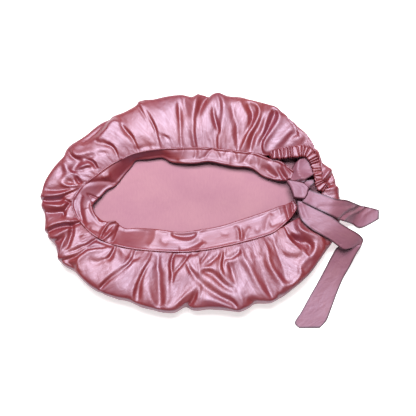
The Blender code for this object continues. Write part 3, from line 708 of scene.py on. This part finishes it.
# Silk charmeuse, satin side: woven with long floats, so it shines softly in broad bands. Its
# threads are about 0.08 mm, drawn 20 times as coarse so that they just show.
satin, shader = woven_silk(
    "silk_charmeuse_satin_side", SATIN_COLOURS, roughness=0.49, thread_mm=1.6, float_mm=16,
    thread_deep_mm=0.03, crumple_mm=7, crumple_deep_mm=0.35)[:2]
satin_shine(shader, ior=1.70, level=1.0)
# The same cloth's back: a matt crepe that scatters the light evenly, with the same coarse grain.
crepe, shader = woven_silk(
    "silk_charmeuse_crepe_side", CREPE_COLOURS, roughness=0.85, thread_mm=1.8, float_mm=7,
    thread_deep_mm=0.10, crumple_mm=22, crumple_deep_mm=0.8)[:2]
set_inputs(shader, {"Specular IOR Level": 0.2, "Sheen Weight": 0.1, "Sheen Roughness": 0.5})

outs = [k / UPPER_RINGS for k in range(UPPER_RINGS + 1)]
outs += [1 + (k + 1) / UNDER_RINGS for k in range(UNDER_RINGS)]
outs += [2 + (k + 1) / FLOOR_RINGS for k in range(FLOOR_RINGS)]
shape, around_share, ring_share = cloth_grid(CROWN_STATIONS, len(outs) - 1)
around = around_share * 360
station = np.rint(around_share * CROWN_STATIONS).astype(int)
ring = np.rint(ring_share * (len(outs) - 1)).astype(int)
out = np.array(outs)[ring]
place = plain_crown(around, out)
per_degree = plain_crown(around + 0.5, out) - plain_crown(around - 0.5, out)
step = SLOPE_STEP_OUT
per_out = (plain_crown(around, out + step) - plain_crown(around, out - step)) / (2 * step)
normal = np.cross(per_out, per_degree)
normal /= np.maximum(np.linalg.norm(normal, axis=1), 1e-9)[:, None]
normal[out >= 2] = (0, 0, 1)  # the bottom lies flat
degree_mm = np.linalg.norm(per_degree, axis=1) / MM
out_mm = np.linalg.norm(per_out, axis=1) / MM
lift = FOLD_GAIN * fold_lift(FOLDS, around, out, degree_mm, out_mm, FOLD_FADE_MM, edge=math.inf)
lift *= np.clip(SEAM_SHARE + out / SEAM_FADE, 0, 1) * np.clip((UNDER_END - out) / UNDER_FADE, 0, 1)
lift *= 1 - RIM_CALM * hill(out - RIM_CALM_AT, RIM_CALM_HALF)
draws = np.random.default_rng(GATHER_SEED)
gathers = int(SEAM_ROUND_MM / GATHER_PITCH_MM)
phases = np.cumsum(1 + draws.uniform(-GATHER_UNEVEN, GATHER_UNEVEN, gathers))
heights = draws.uniform(*GATHER_SIZES, gathers)
reaches = draws.uniform(*GATHER_REACHES, gathers) * GATHER_REACH
centres = phases / phases[-1] * 360
for centre, height, reach in zip(centres, heights, reaches, strict=True):
    apart = turn_from(around, centre) * degree_mm
    lift += GATHER_MM * height * hill(apart, GATHER_PITCH_MM * GATHER_HALF) * hill(out, reach)
# The side below the rim hangs in soft upright folds.
low_on_side = hill(out - SIDE_GATHER_AT, SIDE_GATHER_REACH)
for centre in draws.uniform(0, 360, SIDE_GATHERS):
    height, half = draws.uniform(-1, 1), draws.uniform(*SIDE_GATHER_HALF_MM)
    apart = turn_from(around, centre) * degree_mm
    lift += SIDE_GATHER_MM * height * hill(apart, half) * low_on_side
place = place + normal * (lift * MM)[:, None]
place[:, 2] = np.maximum(place[:, 2], SILK / 2)
place[:, 2] += DOME_MM * MM * ease((out - DOME_FROM) / DOME_OVER)
for bunch in BUNCHES:
    away = np.hypot(place[:, 0] / MM - bunch.x_mm, place[:, 1] / MM - bunch.y_mm)
    place[:, 2] += np.where(out > BUNCH_FROM, bunch.height_mm * MM * hill(away, bunch.half_mm), 0)
cloth_lines = np.zeros((len(outs), CROWN_STATIONS + 1, 3))
cloth_lines[ring, station] = place
steps = np.linalg.norm(np.diff(cloth_lines, axis=0, prepend=cloth_lines[:1]), axis=2)
from_seam = np.cumsum(steps, axis=0)
from_middle = (from_seam[-1] - from_seam)[ring, station]
turn = np.radians(around)
flat = np.stack([from_middle * np.cos(turn), from_middle * np.sin(turn)], -1)
lay_cloth(shape, place, flat, out=out)
layer = shape.verts.layers.float["out"]
out = np.array([vertex[layer] for vertex in shape.verts])
held = np.clip(1 - out / HELD_AT_SEAM, 0, 1) + np.clip((out - HELD_FROM) / HELD_OVER, 0, 1)
crown = finish_piece("crown_silk", shape, satin)
crown.data.materials.append(crepe)
settle(crown, np.clip(held + HELD_LEAST, 0, 1))
soften = crown.modifiers.new("Rest", "SMOOTH")
soften.iterations = SMOOTH_ROUNDS
thicken = crown.modifiers.new("Wall", "SOLIDIFY")
thicken.thickness = SILK
thicken.offset = 0
thicken.use_quality_normals = True
thicken.material_offset = 1
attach(crown, "root")
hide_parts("crown")

# ---------------------------------------------------------------------------------------------
# Front band. A strip of the same satin folded double and pressed, sewn into the crown's gathered
# seam by its outer edge. Both its ends run to the knot, the far one under the satin loop.
BAND_WALL = 1.1 * MM
BAND_INSET = -1.4 * MM
BAND_LIFT = 0.8 * MM
BAND_STATIONS = 640
BAND_FACES_ACROSS = 26
BAND_FADE_MM = 4.0
BAND_LEVEL = 0.09  # the share of its width that stays level beside the seam
BAND_HOLLOW = 1.15  # how soon the band drops from the seam and then flattens out
RIBBON_EDGE = 0.95  # a fold that ends past this share of the width runs over the edge
SLOPE_STEP = 0.0005
SLOPE_STEP_ACROSS = 0.01
WELT_AT_MM = 1.3
WELT_MM = 0.8
WELT_HALF_MM = 1.1
STITCH_AT_MM = 2.8
STITCH_DEEP_MM = 0.35
STITCH_HALF_MM = 0.7
STITCH_LONG_MM = 2.5
STITCH_SHARE = 0.7
THREAD_HALF_MM = 0.3
THREAD_COLOUR = "#8A3A44"
ROLL_AT_MM = 1.6
ROLL_MM = 0.9
ROLL_HALF_MM = 1.6

# Both its edges in millimetres, where it leaves the seam's line and runs to the knot.
BandRow = namedtuple("BandRow", "around one_x one_y one_z other_x other_y other_z")
BAND_START = [BandRow(*row) for row in (
    (44, 114.5, 31, 21, 112, 22, 20),
    (50, 105.9, 37.1, 22.3, 102.6, 20, 18.5),
    (55, 99.4, 41.5, 22.9, 92.9, 21.3, 18),
    (58.5, 86.4, 45.1, 22.9, 80.9, 25.3, 18),
)]
BAND_FINISH = [BandRow(*row) for row in (
    (332, 112, -20, 19, 109, -4, 16),
    (342, 118, -9.5, 20.5, 113, -2, 19),
)]
# Its width along the seam, and the height of its free edge.
BandWidth = namedtuple("BandWidth", "around width_mm inner_mm")
BAND_WIDTHS = [BandWidth(*row) for row in (
    (61.5, 18, 19.5), (66, 17, 20), (71, 18, 20), (78, 17, 20.5), (85, 15.5, 20.5), (92, 18, 20),
    (98, 17.5, 19), (104, 14.5, 15), (108.5, 8, 13), (115.5, 7.5, 12), (122.5, 5, 10), (127, 10, 9),
    (135, 16.5, 9), (141, 20, 10), (146, 21, 11), (153, 19.5, 12), (160, 21, 13), (168, 22, 14),
    (184, 22.5, 15), (196, 21.5, 15), (206, 19.5, 14.5), (214, 20, 14), (221, 22, 14.5),
    (227, 26.5, 15), (234, 23.5, 10.5), (241, 26.5, 10.5), (250, 26, 15.5), (261, 24, 15.5),
    (271, 25, 15.5), (283, 25, 15.5), (295, 26.5, 15.5), (306, 27, 15.5), (316, 26, 16),
)]
RIPPLES = [Fold(*row) for row in (
    # far side, from the knot to the left
    (0, 1.5, 1.5, 1, ((50, .04), (46.5, .25), (44, .55))),
    (1, 2.5, 2.5, 0, ((52, .12), (48.5, .45), (45.5, .9))),
    (0, 2.2, 2.2, 1.6, ((55.5, .3), (51.5, .6), (48, .95))),
    (1, 2.5, 2.5, 0, ((58.5, .2), (54.5, .6), (50.5, .95))),
    (0, 3, 2.5, 1, ((57.5, .02), (54.5, .2), (52.5, .3))),
    (0, 3, 2.5, 1.2, ((59.5, .5), (56.5, .75), (54, .9))),
    (0, 2, 2, .8, ((58, .02), (58, .8))),
    (.7, 2.5, 2.5, 0, ((59.8, .02), (60, .9))),
    (0, 2, 2.2, .9, ((63.2, .02), (61.2, .25), (60.7, .8))),
    (0, 2, 2.2, .8, ((63.6, .02), (65.8, .35), (67.5, .8))),
    (.8, 3, 3, 0, ((64.3, .3), (64, .9))),
    (.7, 3, 3, 0, ((70, .02), (69.5, .9))),
    (0, 2, 2.2, .7, ((74.5, .02), (72, .26), (70.7, .7))),
    (0, 2, 2, .6, ((74.5, .02), (76.5, .2), (77.5, .6))),
    (.9, 3, 3, 0, ((75, .3), (74.8, .95))),
    (0, 2, 2.4, .9, ((83.8, .02), (81, .35), (79.2, .75))),
    (0, 2, 2.6, 1.1, ((83.8, .02), (85.8, .4), (87.6, .8))),
    (.7, 3, 3, 0, ((89.7, .02), (89.8, .8))),
    (0, 2, 2, .7, ((92.5, .02), (91.8, .4), (93.2, .8))),
    (.8, 4, 4, 0, ((97.8, .05), (99, .5), (101, .9))),
    (0, 3, 3, .8, ((108, .05), (103.5, .18), (99.8, .03))),
    (1.6, 4, 4, 0, ((151, .28), (147, .36), (142, .46))),
    (0, 3, 3, 1.6, ((166, .02), (158, .22), (149.5, .58), (143, .95))),
    (0, 4, 4, 1.2, ((150.5, .08), (141, .1), (130, .15))),
    # left end
    (0, 1.2, 1, 1.6, ((169.2, .42), (165.8, .72), (163.2, 1))),
    (0, 3, 2.5, 1.2, ((182, .07), (190, .12), (198, .1), (205, .05))),
    (1.2, 2.5, 2.5, 0, ((172, .3), (187, .4), (198, .3), (206, .15), (212, .05))),
    (0, 4, 4, .9, ((192, .7), (203, .5), (211, .3))),
    (1.4, 2.2, 2.2, .4, ((170.5, .8), (186, .9), (201, .88), (209, .85), (216, .8), (222, .92)),
     -1),
    (0, 2, 2, 1.4, ((210.5, .97), (214.5, .95))),
    (0, 4, 4, 1, ((213, .15), (217.5, .3), (222, .38))),
    (1.8, 2.5, 1.8, .6, ((223.8, .02), (222.8, .45), (223.2, .82), (226.5, .97))),
    (0, 2, 1.8, 1.4, ((224.4, .3), (225.2, .6), (227, .86))),
    (1.6, 2, 2.5, .8, ((225, .02), (226.8, .3), (228, .62))),
    # near side, from the left to the knot
    (0, 3, 3.5, 1.8, ((228.5, .02), (230.8, .2), (230.6, .68), (230.4, .98))),
    (1.2, 5, 6, 0, ((249.5, 1), (249.5, .55), (247, .12)), -1),
    (0, 4, 4, .8, ((251.5, .57), (256, .36))),
    (0, 4, 3.6, 1.3, ((256.5, .9), (261.5, .8), (267, .78), (270, .86))),
    (.9, 3.5, 3.5, 0, ((254.8, .9), (258.2, .68), (263.2, .52), (267.4, .55), (270, .8),
     (273, .98))),
    (0, 4, 3.5, 1.3, ((260, .18), (264.5, .22), (269, .38), (272.5, .55))),
    (1.1, 3, 2.5, 0, ((268.8, .02), (271.5, .23), (274.2, .37))),
    (0, 3, 2.5, .6, ((281.5, .66), (287, .52))),
    (.9, 2.5, 2.5, 0, ((290.2, .85), (291.6, .55), (290.2, .06))),
    (0, 2, 2.2, 1.1, ((293.6, .75), (293.5, .41), (292, .09))),
    (.9, 3, 3, 0, ((300, .6), (296.2, .35), (294.2, .02))),
    (0, 4, 4, .8, ((301, .42), (306, .3))),
    (1, 4, 4, 0, ((319.5, .85), (313.5, .55), (307.2, .15))),
    (0, 3, 3, .8, ((313, .35), (319, .28), (324, .2))),
    (1.2, 4, 4, 0, ((324, .45), (324, 1))),
    (0, 3, 3, 1.8, ((328.5, .1), (329, 1))),
    (1.6, 2.5, 2, .8, ((333, .02), (334.5, 1))),
    (0, 2, 2, 1.4, ((338.5, .05), (339, 1))),
)]


def distances(line):
    """How far along a line each of its points is."""
    return np.concatenate([[0], np.cumsum(np.linalg.norm(np.diff(line, axis=0), axis=1))])


def ribbon(rows_at, places, faces_across, wall, lift, edge_radius=None, hollow=1.0, level=0.0):
    """A strip folded double, as a thin closed loop of cloth. rows_at gives both its edges at any
    place, and lift its folds from the place, the share across and the millimetres of each."""
    edge_radius = edge_radius or wall / 2
    places = np.asarray(places, float)
    shape, round_share, row_share = cloth_grid(2 * faces_across, len(places) - 1)
    column = np.rint(round_share * 2 * faces_across).astype(int)
    row = np.rint(row_share * (len(places) - 1)).astype(int)
    steps = np.minimum(column, 2 * faces_across - column)
    share = (1 - np.cos(math.pi * steps / faces_across)) / 2
    side = np.where(column <= faces_across, 1, -1)
    place = places[row]

    def middle(place, share):
        edges = rows_at(np.clip(place, places[0], places[-1]))
        across = share[:, None]
        point = edges[:, :3] * (1 - across) + edges[:, 3:] * across
        fall = 1 - (1 - np.clip((share - level) / (1 - level), 0, 1)) ** hollow
        point[:, 2] = edges[:, 2] + (edges[:, 5] - edges[:, 2]) * fall
        return point

    step = (places[-1] - places[0]) * SLOPE_STEP
    inside = np.clip(place, places[0] + step, places[-1] - step)
    along = (middle(inside + step, share) - middle(inside - step, share)) / (2 * step)
    step = SLOPE_STEP_ACROSS
    inside = np.clip(share, step, 1 - step)
    across = (middle(place, inside + step) - middle(place, inside - step)) / (2 * step)
    normal = np.cross(along, across)
    normal /= np.linalg.norm(normal, axis=1)[:, None]
    along_mm = np.linalg.norm(along, axis=1) / MM
    across_mm = np.linalg.norm(across, axis=1) / MM
    centre = middle(places, np.full(len(places), 0.5))
    travelled = distances(centre)
    end = np.minimum(travelled, travelled[-1] - travelled)[row]
    edge = np.minimum(share, 1 - share) * across_mm * MM
    thick = wall / 2 * np.ones_like(share)
    for distance in (edge, end):
        thick = thick * np.sqrt(1 - (1 - np.minimum(1, distance / edge_radius)) ** 2)
    raised = lift(place, share, along_mm, across_mm) * MM
    point = middle(place, share) + normal * (raised + side * thick)[:, None]
    flat = np.stack([share * across_mm * MM, travelled[row]], -1)
    lay_cloth(shape, point, flat, from_edge_mm=np.minimum(edge, end) / MM)
    return shape


def seam_edge(around, inward):
    """A place on the seam line's inner side, with the seam's height."""
    def plan(angle):
        reach = section_values(angle)[0]
        turn = np.radians(angle)
        x = SEAM_CENTRE_X + SEAM_HALF_LENGTH * reach * np.cos(turn)
        return np.stack([x, SEAM_HALF_WIDTH * reach * np.sin(turn)], -1)

    ahead = plan(around + 1) - plan(around - 1)
    across = np.array([-ahead[1], ahead[0]]) / np.linalg.norm(ahead)
    return np.array([*(plan(around) + across * inward), section_values(around)[1] * MM])


band_rows = [np.array(row[1:]) * MM for row in BAND_START]
for width in BAND_WIDTHS:
    outer = seam_edge(width.around, BAND_INSET) + [0, 0, BAND_LIFT]
    inner = seam_edge(width.around, BAND_INSET + width.width_mm * MM)
    inner[2] = width.inner_mm * MM
    band_rows.append(np.concatenate([outer, inner]))
band_rows += [np.array(row[1:]) * MM for row in BAND_FINISH]
band_rows = np.array(band_rows)
band_places = [row.around for row in BAND_START + BAND_WIDTHS + BAND_FINISH]


def band_edges(place):
    return smooth_rows(band_rows, np.interp(place, band_places, np.arange(len(band_places))))


def band_lift(place, share, along_mm, across_mm):
    """The welt at the seam, the row of stitches beside it, the rolled free edge and the ripples."""
    outer_mm = share * across_mm
    inner_mm = (1 - share) * across_mm
    lift = fold_lift(RIPPLES, place, share, along_mm, across_mm, BAND_FADE_MM, RIBBON_EDGE)
    lift += WELT_MM * hill(outer_mm - WELT_AT_MM, WELT_HALF_MM)
    lift -= STITCH_DEEP_MM * hill(outer_mm - STITCH_AT_MM, STITCH_HALF_MM)
    lift += ROLL_MM * hill(inner_mm - ROLL_AT_MM, ROLL_HALF_MM)
    return lift


# The same charmeuse, pressed, with a row of lockstitches along the seam in a thread of spun silk,
# dyed lighter. They are 2.5 mm long, drawn wider than the 0.2 mm thread so that they show.
band_satin, shader, cloth, colour = woven_silk(
    "pressed_silk_charmeuse", SATIN_COLOURS, roughness=0.50, thread_mm=1.6, float_mm=20,
    thread_deep_mm=0.03, crumple_mm=15, crumple_deep_mm=0.25)
satin_shine(shader, ior=1.70, level=1.0)
tree = band_satin.node_tree
across, along = add_node(tree, "ShaderNodeSeparateXYZ", links={"Vector": cloth}).outputs[:2]
in_row = (("SUBTRACT", STITCH_AT_MM), ("ABSOLUTE", 0), ("LESS_THAN", THREAD_HALF_MM))
on_top = (("MODULO", STITCH_LONG_MM), ("LESS_THAN", STITCH_LONG_MM * STITCH_SHARE))
masks = []
for value, steps in ((across, in_row), (along, on_top)):
    for operation, number in steps:
        value = add_node(tree, "ShaderNodeMath", {"operation": operation, 1: number * MM},
                         {0: value}).outputs[0]
    masks.append(value)
stitch = add_node(tree, "ShaderNodeMath", {"operation": "MULTIPLY"}, dict(enumerate(masks)))
sewn = add_node(tree, "ShaderNodeMix", {"data_type": "RGBA", 7: linear(THREAD_COLOUR)},
                {0: stitch.outputs[0], 6: colour})
tree.links.new(sewn.outputs[2], shader.inputs["Base Color"])

shape = ribbon(band_edges, np.linspace(band_places[0], band_places[-1], BAND_STATIONS + 1),
               BAND_FACES_ACROSS, BAND_WALL, band_lift, hollow=BAND_HOLLOW, level=BAND_LEVEL)
band = finish_piece("front_band_satin", shape, band_satin)
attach(band, "root")
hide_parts("front_band")

# ---------------------------------------------------------------------------------------------
# Nape casing. A tube of the same satin with elastic inside, which puckers it into close ridges. It
# is sewn into the seam where the band leaves it.
CASING_HALF_WIDTH = 5.6 * MM
CASING_HALF_HEIGHT = 2.6 * MM
CASING_STATIONS = 640
CASING_SIDES = 36
CASING_CLOSES = 2 * MM  # how far from its ends the tube narrows
CASING_BOXY = 0.4  # 1 is an oval section, and less is flatter on top
CASING_SEED = 7
PUCKER_PITCH = 3.9 * MM
PUCKER_DEPTH = 2.6 * MM
PUCKER_SHARPNESS = 0.35
PUCKER_MIDDLE = 0.7  # the share of a pucker's depth that lies within the tube's plain size
PUCKER_WANDER = 0.35
PUCKER_UNEVEN = 0.25

# Its middle in millimetres, and its width as a share of the full one.
CasingPoint = namedtuple("CasingPoint", "x y z half_width")
CASING_LINE = [CasingPoint(*row) for row in (
    (87.5, 48.2, 24, 0.6), (96, 48, 25.5, 0.9), (105.8, 49.5, 26, 1), (116.7, 51, 26, 1.1),
    (125.5, 51.3, 26, 1.05), (131.9, 47.6, 26, 0.95), (136.1, 41.4, 26, 0.9),
    (138.2, 35.2, 26, 0.9), (139.4, 29, 26, 0.85), (140.1, 23.3, 26, 0.75), (140.8, 17.7, 26, 0.8),
    (143.1, 12.8, 26, 1), (148.5, 8.5, 25.5, 0.9),
)]
casing_line = np.array(CASING_LINE) * [MM, MM, MM, 1]
shape, round_share, row_share = cloth_grid(CASING_SIDES, CASING_STATIONS)
row = np.rint(row_share * CASING_STATIONS).astype(int)
turn = (2 * round_share - 1) * math.pi
centres = smooth_rows(casing_line, np.linspace(0, len(casing_line) - 1, CASING_STATIONS + 1))
travelled = distances(centres[:, :3])
ahead = np.gradient(centres[:, :3], axis=0)
aside = np.stack([-ahead[:, 1], ahead[:, 0], np.zeros(len(ahead))], -1)
aside /= np.linalg.norm(aside, axis=1)[:, None]
draws = np.random.default_rng(CASING_SEED)


def drift_along(spread):
    """A value for each station that changes a little from pucker to pucker."""
    puckers = travelled / PUCKER_PITCH
    return smooth_rows(draws.normal(0, spread, (int(puckers[-1]) + 3, 1)), puckers)[:, 0]


wander, lean = drift_along(PUCKER_WANDER), drift_along(PUCKER_WANDER)
depth = 1 + drift_along(PUCKER_UNEVEN)
phase = (travelled / PUCKER_PITCH + wander)[row] + lean[row] * np.cos(turn)
crest = np.abs(np.sin(math.pi * phase)) ** PUCKER_SHARPNESS - PUCKER_MIDDLE
end = np.minimum(travelled, travelled[-1] - travelled)[row]
closing = np.sqrt(np.minimum(1, end / CASING_CLOSES))
pucker = PUCKER_DEPTH * crest * depth[row]
wide = (CASING_HALF_WIDTH * centres[row, 3] + pucker) * closing
high = (CASING_HALF_HEIGHT + pucker) * closing
flat_side, flat_top = (np.sign(f) * np.abs(f) ** CASING_BOXY for f in (np.cos(turn), np.sin(turn)))
place = centres[row, :3] + aside[row] * (wide * flat_side)[:, None]
place[:, 2] += high * flat_top
lay_cloth(shape, place, np.stack([turn / math.pi * 2 * CASING_HALF_WIDTH, travelled[row]], -1))
casing = finish_piece("nape_casing_satin", shape, satin)
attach(casing, "root")
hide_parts("elastic_casing")

# ---------------------------------------------------------------------------------------------
# Tie loop. A satin strap, folded double, that comes out from under the casing and runs down into
# the knot. It is soft and turned, so half of it faces away from the light.
TIE_WALL = 1.1 * MM
TIE_FADE_MM = 3.0
TIE_COLOURS = ("#7C4A5C", "#885762")
TIE_EDGE_WEAR_AND_SHADE_COLOUR = "#431A22"
TIE_EDGE_WEAR_AND_SHADE_MM = 0.8
TIE_EDGE_WEAR_AND_SHADE_END_MM = 2.4
LOOP_STATIONS = 90
LOOP_FACES_ACROSS = 20
# Both edges of a tie in millimetres, from row to row along it.
TieRow = namedtuple("TieRow", "one_x one_y one_z other_x other_y other_z")
LOOP_ROWS = [TieRow(*row) for row in (
    (122.4, 47.4, 20.5, 129.3, 51, 21.5),
    (119.6, 42.7, 19.5, 133.8, 45.3, 22.5),
    (115.2, 38.7, 18.5, 136.8, 38.7, 23.5),
    (111.8, 33.1, 18, 138.9, 32.4, 24),
    (110.1, 27.3, 18.5, 138.2, 27.6, 24.5),
    (109.4, 21.9, 20, 132.6, 22.6, 25.5),
    (111.9, 17.7, 23, 124.8, 16.2, 26.5),
)]
LOOP_CREASES = [Fold(*row) for row in (
    (5, 4.5, 9, 0, ((.6, .15), (2, .22), (3, .26), (4, .33), (5, .48), (5.9, .75)), -1),
    (0, 2, 2, 1.5, ((4.9, .42), (5.4, .55), (5.9, .75))),
    (0, 1.5, 1.5, .5, ((2.6, .12), (3.6, .14), (4.6, .2))),
)]
# Silk satin of a tighter, duller weave, folded double and pressed. Its edges are painted darker,
# partly as wear and partly as painted shade along the folded edges.
tie_silk, shader, cloth, colour = woven_silk(
    "tie_silk_satin", TIE_COLOURS, roughness=0.52, thread_mm=1.8, float_mm=9,
    thread_deep_mm=0.06, crumple_mm=10, crumple_deep_mm=0.5)
satin_shine(shader, ior=1.60, level=0.6)
tree = tie_silk.node_tree
# Painted shade and wear: the colour darkens within a few millimetres of each edge of a tie.
edge = add_node(tree, "ShaderNodeAttribute", {"attribute_name": "from_edge_mm"})
inside = add_node(tree, "ShaderNodeMapRange",
                  {"From Min": TIE_EDGE_WEAR_AND_SHADE_MM, "From Max": TIE_EDGE_WEAR_AND_SHADE_END_MM},
                  {"Value": edge.outputs["Fac"]})
worn_and_shaded = add_node(tree, "ShaderNodeMix", {"data_type": "RGBA", 6: linear(TIE_EDGE_WEAR_AND_SHADE_COLOUR)},
                {0: inside.outputs["Result"], 7: colour})
tree.links.new(worn_and_shaded.outputs[2], shader.inputs["Base Color"])


def tie_piece(name, node, table, creases, stations, faces_across, wall=TIE_WALL,
              edge_radius=None):
    """One stretch of a tie, from a table of its two edges."""
    rows = np.array(table) * MM

    def rows_at(place):
        return smooth_rows(rows, place)

    def lift(*where):
        return fold_lift(creases, *where, TIE_FADE_MM, RIBBON_EDGE)

    places = np.linspace(0, len(rows) - 1, stations + 1)
    shape = ribbon(rows_at, places, faces_across, wall, lift, edge_radius)
    piece = finish_piece(name, shape, tie_silk)
    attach(piece, "root")
    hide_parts(node)


tie_piece("tie_loop_satin", "tie_loop", LOOP_ROWS, LOOP_CREASES, LOOP_STATIONS, LOOP_FACES_ACROSS)

# ---------------------------------------------------------------------------------------------
# Tie turn. The strap's short end, folded back beside the knot and pointing to the right. No crease
# shows on it.
TURN_ROWS = [TieRow(*row) for row in (
    (121.8, 16.3, 23, 130.3, 8.4, 23),
    (123.9, 18.3, 24.5, 131.9, 11.5, 24.5),
    (129.3, 19.2, 25.3, 134, 13.6, 25.3),
    (135.3, 20, 25.3, 136.3, 15.9, 25.3),
)]
tie_piece("tie_turn_satin", "tie_loop", TURN_ROWS, (), LOOP_STATIONS, LOOP_FACES_ACROSS)

# ---------------------------------------------------------------------------------------------
# Knot. The two ties cross here; one turn of the strap wraps over the front as a small padded face.
# It is the thickest of the ties, with a rounded edge and two soft creases.
KNOT_WALL = 7 * MM
KNOT_ROUND = 2.5 * MM
KNOT_STATIONS = 60
KNOT_FACES_ACROSS = 24
KNOT_ROWS = [TieRow(*row) for row in (
    (110.9, 19.4, 25, 122.2, 17.4, 26),
    (105.5, 18.5, 24, 130.4, 10.2, 26.5),
    (108.6, 11.7, 24.5, 130, 6.1, 26.5),
    (111.2, 4.8, 25, 128.7, 1.8, 26),
    (113.3, -1.8, 24.5, 125.6, -2.8, 25),
)]
KNOT_CREASES = [Fold(*row) for row in (
    (.9, 3, 8, 0, ((.3, .05), (1, .15), (2, .22), (3, .15), (4, .05)), -1),
    (0, 4, 4, .6, ((1.2, .75), (2.2, .65), (3.4, .7))),
)]
tie_piece("tie_knot_satin", "tie_knot", KNOT_ROWS, KNOT_CREASES, KNOT_STATIONS, KNOT_FACES_ACROSS,
          wall=KNOT_WALL, edge_radius=KNOT_ROUND)

# ---------------------------------------------------------------------------------------------
# Short tail. The strap that leaves the knot to the right, over the crown's edge and down to the
# floor, where it turns once and lies flat to its slanting cut end.
TAIL_STATIONS = 220
TAIL_FACES_ACROSS = 22
SHORT_ROWS = [TieRow(*row) for row in (
    (126.2, 6.7, 26.5, 122.3, -5.4, 25.5),
    (131, 7.6, 28, 126.4, -8, 27),
    (138.3, 4.3, 30, 132.6, -11.9, 29.5),
    (147.7, 0.5, 31.5, 142, -16.7, 31),
    (158.4, -3.3, 31.5, 151.5, -21.5, 31),
    (169.6, -3.3, 27, 162.2, -25.3, 25.5),
    (179.2, -4.5, 19, 167.9, -25.1, 17.5),
    (188.1, -4.2, 6, 177.8, -25, 5),
    (197.7, -5.2, 1.6, 188.3, -28.6, 1.4),
    (208.8, -8.1, 0.8, 208.4, -18.3, 0.8),
)]
SHORT_CREASES = [Fold(*row) for row in (
    (.8, 4, 3, 0, ((2.4, .95), (3.4, .6), (4.6, .35), (5.8, .15))),
    (0, 1.8, 1.8, 1, ((5.2, .55), (5.8, .3), (6.4, .15))),
    (2.2, 2.5, 4, 2, ((7, .02), (6.4, .3), (5.6, .65), (5, .98))),
    (0, 3, 3, .7, ((8.4, .05), (7.6, .5))),
)]
tie_piece("short_tail_satin", "tie_short", SHORT_ROWS, SHORT_CREASES, TAIL_STATIONS,
          TAIL_FACES_ACROSS)

# ---------------------------------------------------------------------------------------------
# Long tail. It leaves the knot below the short one, folds under itself on the floor and runs down
# to the left, to a slanting cut end with rounded corners.
LONG_STATIONS = 420
LONG_ROWS = [TieRow(*row) for row in (
    (123, -4.4, 24, 117.1, -3, 23),
    (128.6, -8.9, 26.5, 117.3, -13, 25),
    (135.9, -12.6, 28, 119.7, -23.3, 26.5),
    (144.3, -17.3, 28.8, 124.3, -30, 27.5),
    (153.3, -22.2, 28.8, 132.2, -36.9, 27.8),
    (163.5, -29.6, 27.5, 141.1, -42, 27.8),
    (173.4, -34.9, 24.5, 150.4, -46.8, 25.5),
    (181.2, -38.4, 21, 158.6, -52.2, 22),
    (186.5, -41.7, 17, 166.2, -56.2, 18.5),
    (188.8, -44.7, 13, 176.1, -53.4, 14.5),
    (187.4, -48.9, 12, 169.8, -55.7, 12.8),
    (186.2, -52, 12.2, 161.4, -51.9, 11.8),
    (180.9, -60.1, 9.2, 155.5, -59.5, 8.6),
    (174.6, -71.9, 5, 148, -73.3, 4.2),
    (167, -84.8, 2, 138.7, -90.2, 1.6),
    (160.2, -100.4, 0.75, 129.8, -105.3, 0.75),
    (153.8, -116.8, 0.75, 120.9, -121.1, 0.75),
    (148.1, -130.3, 0.75, 113.9, -132.5, 0.75),
    (140.4, -138.4, 0.75, 118.9, -138.6, 0.75),
)]
LONG_CREASES = [Fold(*row) for row in (
    (.7, 2.5, 2.5, 0, ((.2, .25), (1, .45), (2, .62), (3, .75))),
    (0, 2, 2, .6, ((.6, .75), (1.4, .8), (2.4, .88))),
    (.5, 2, 2, 0, ((3.4, .86), (5, .88), (7.4, .88))),
    (0, 1.2, 1.2, .4, ((3.4, .95), (5, .97), (7.4, .97))),
)]
tie_piece("long_tail_satin", "tie_long", LONG_ROWS, LONG_CREASES, LONG_STATIONS, TAIL_FACES_ACROSS)
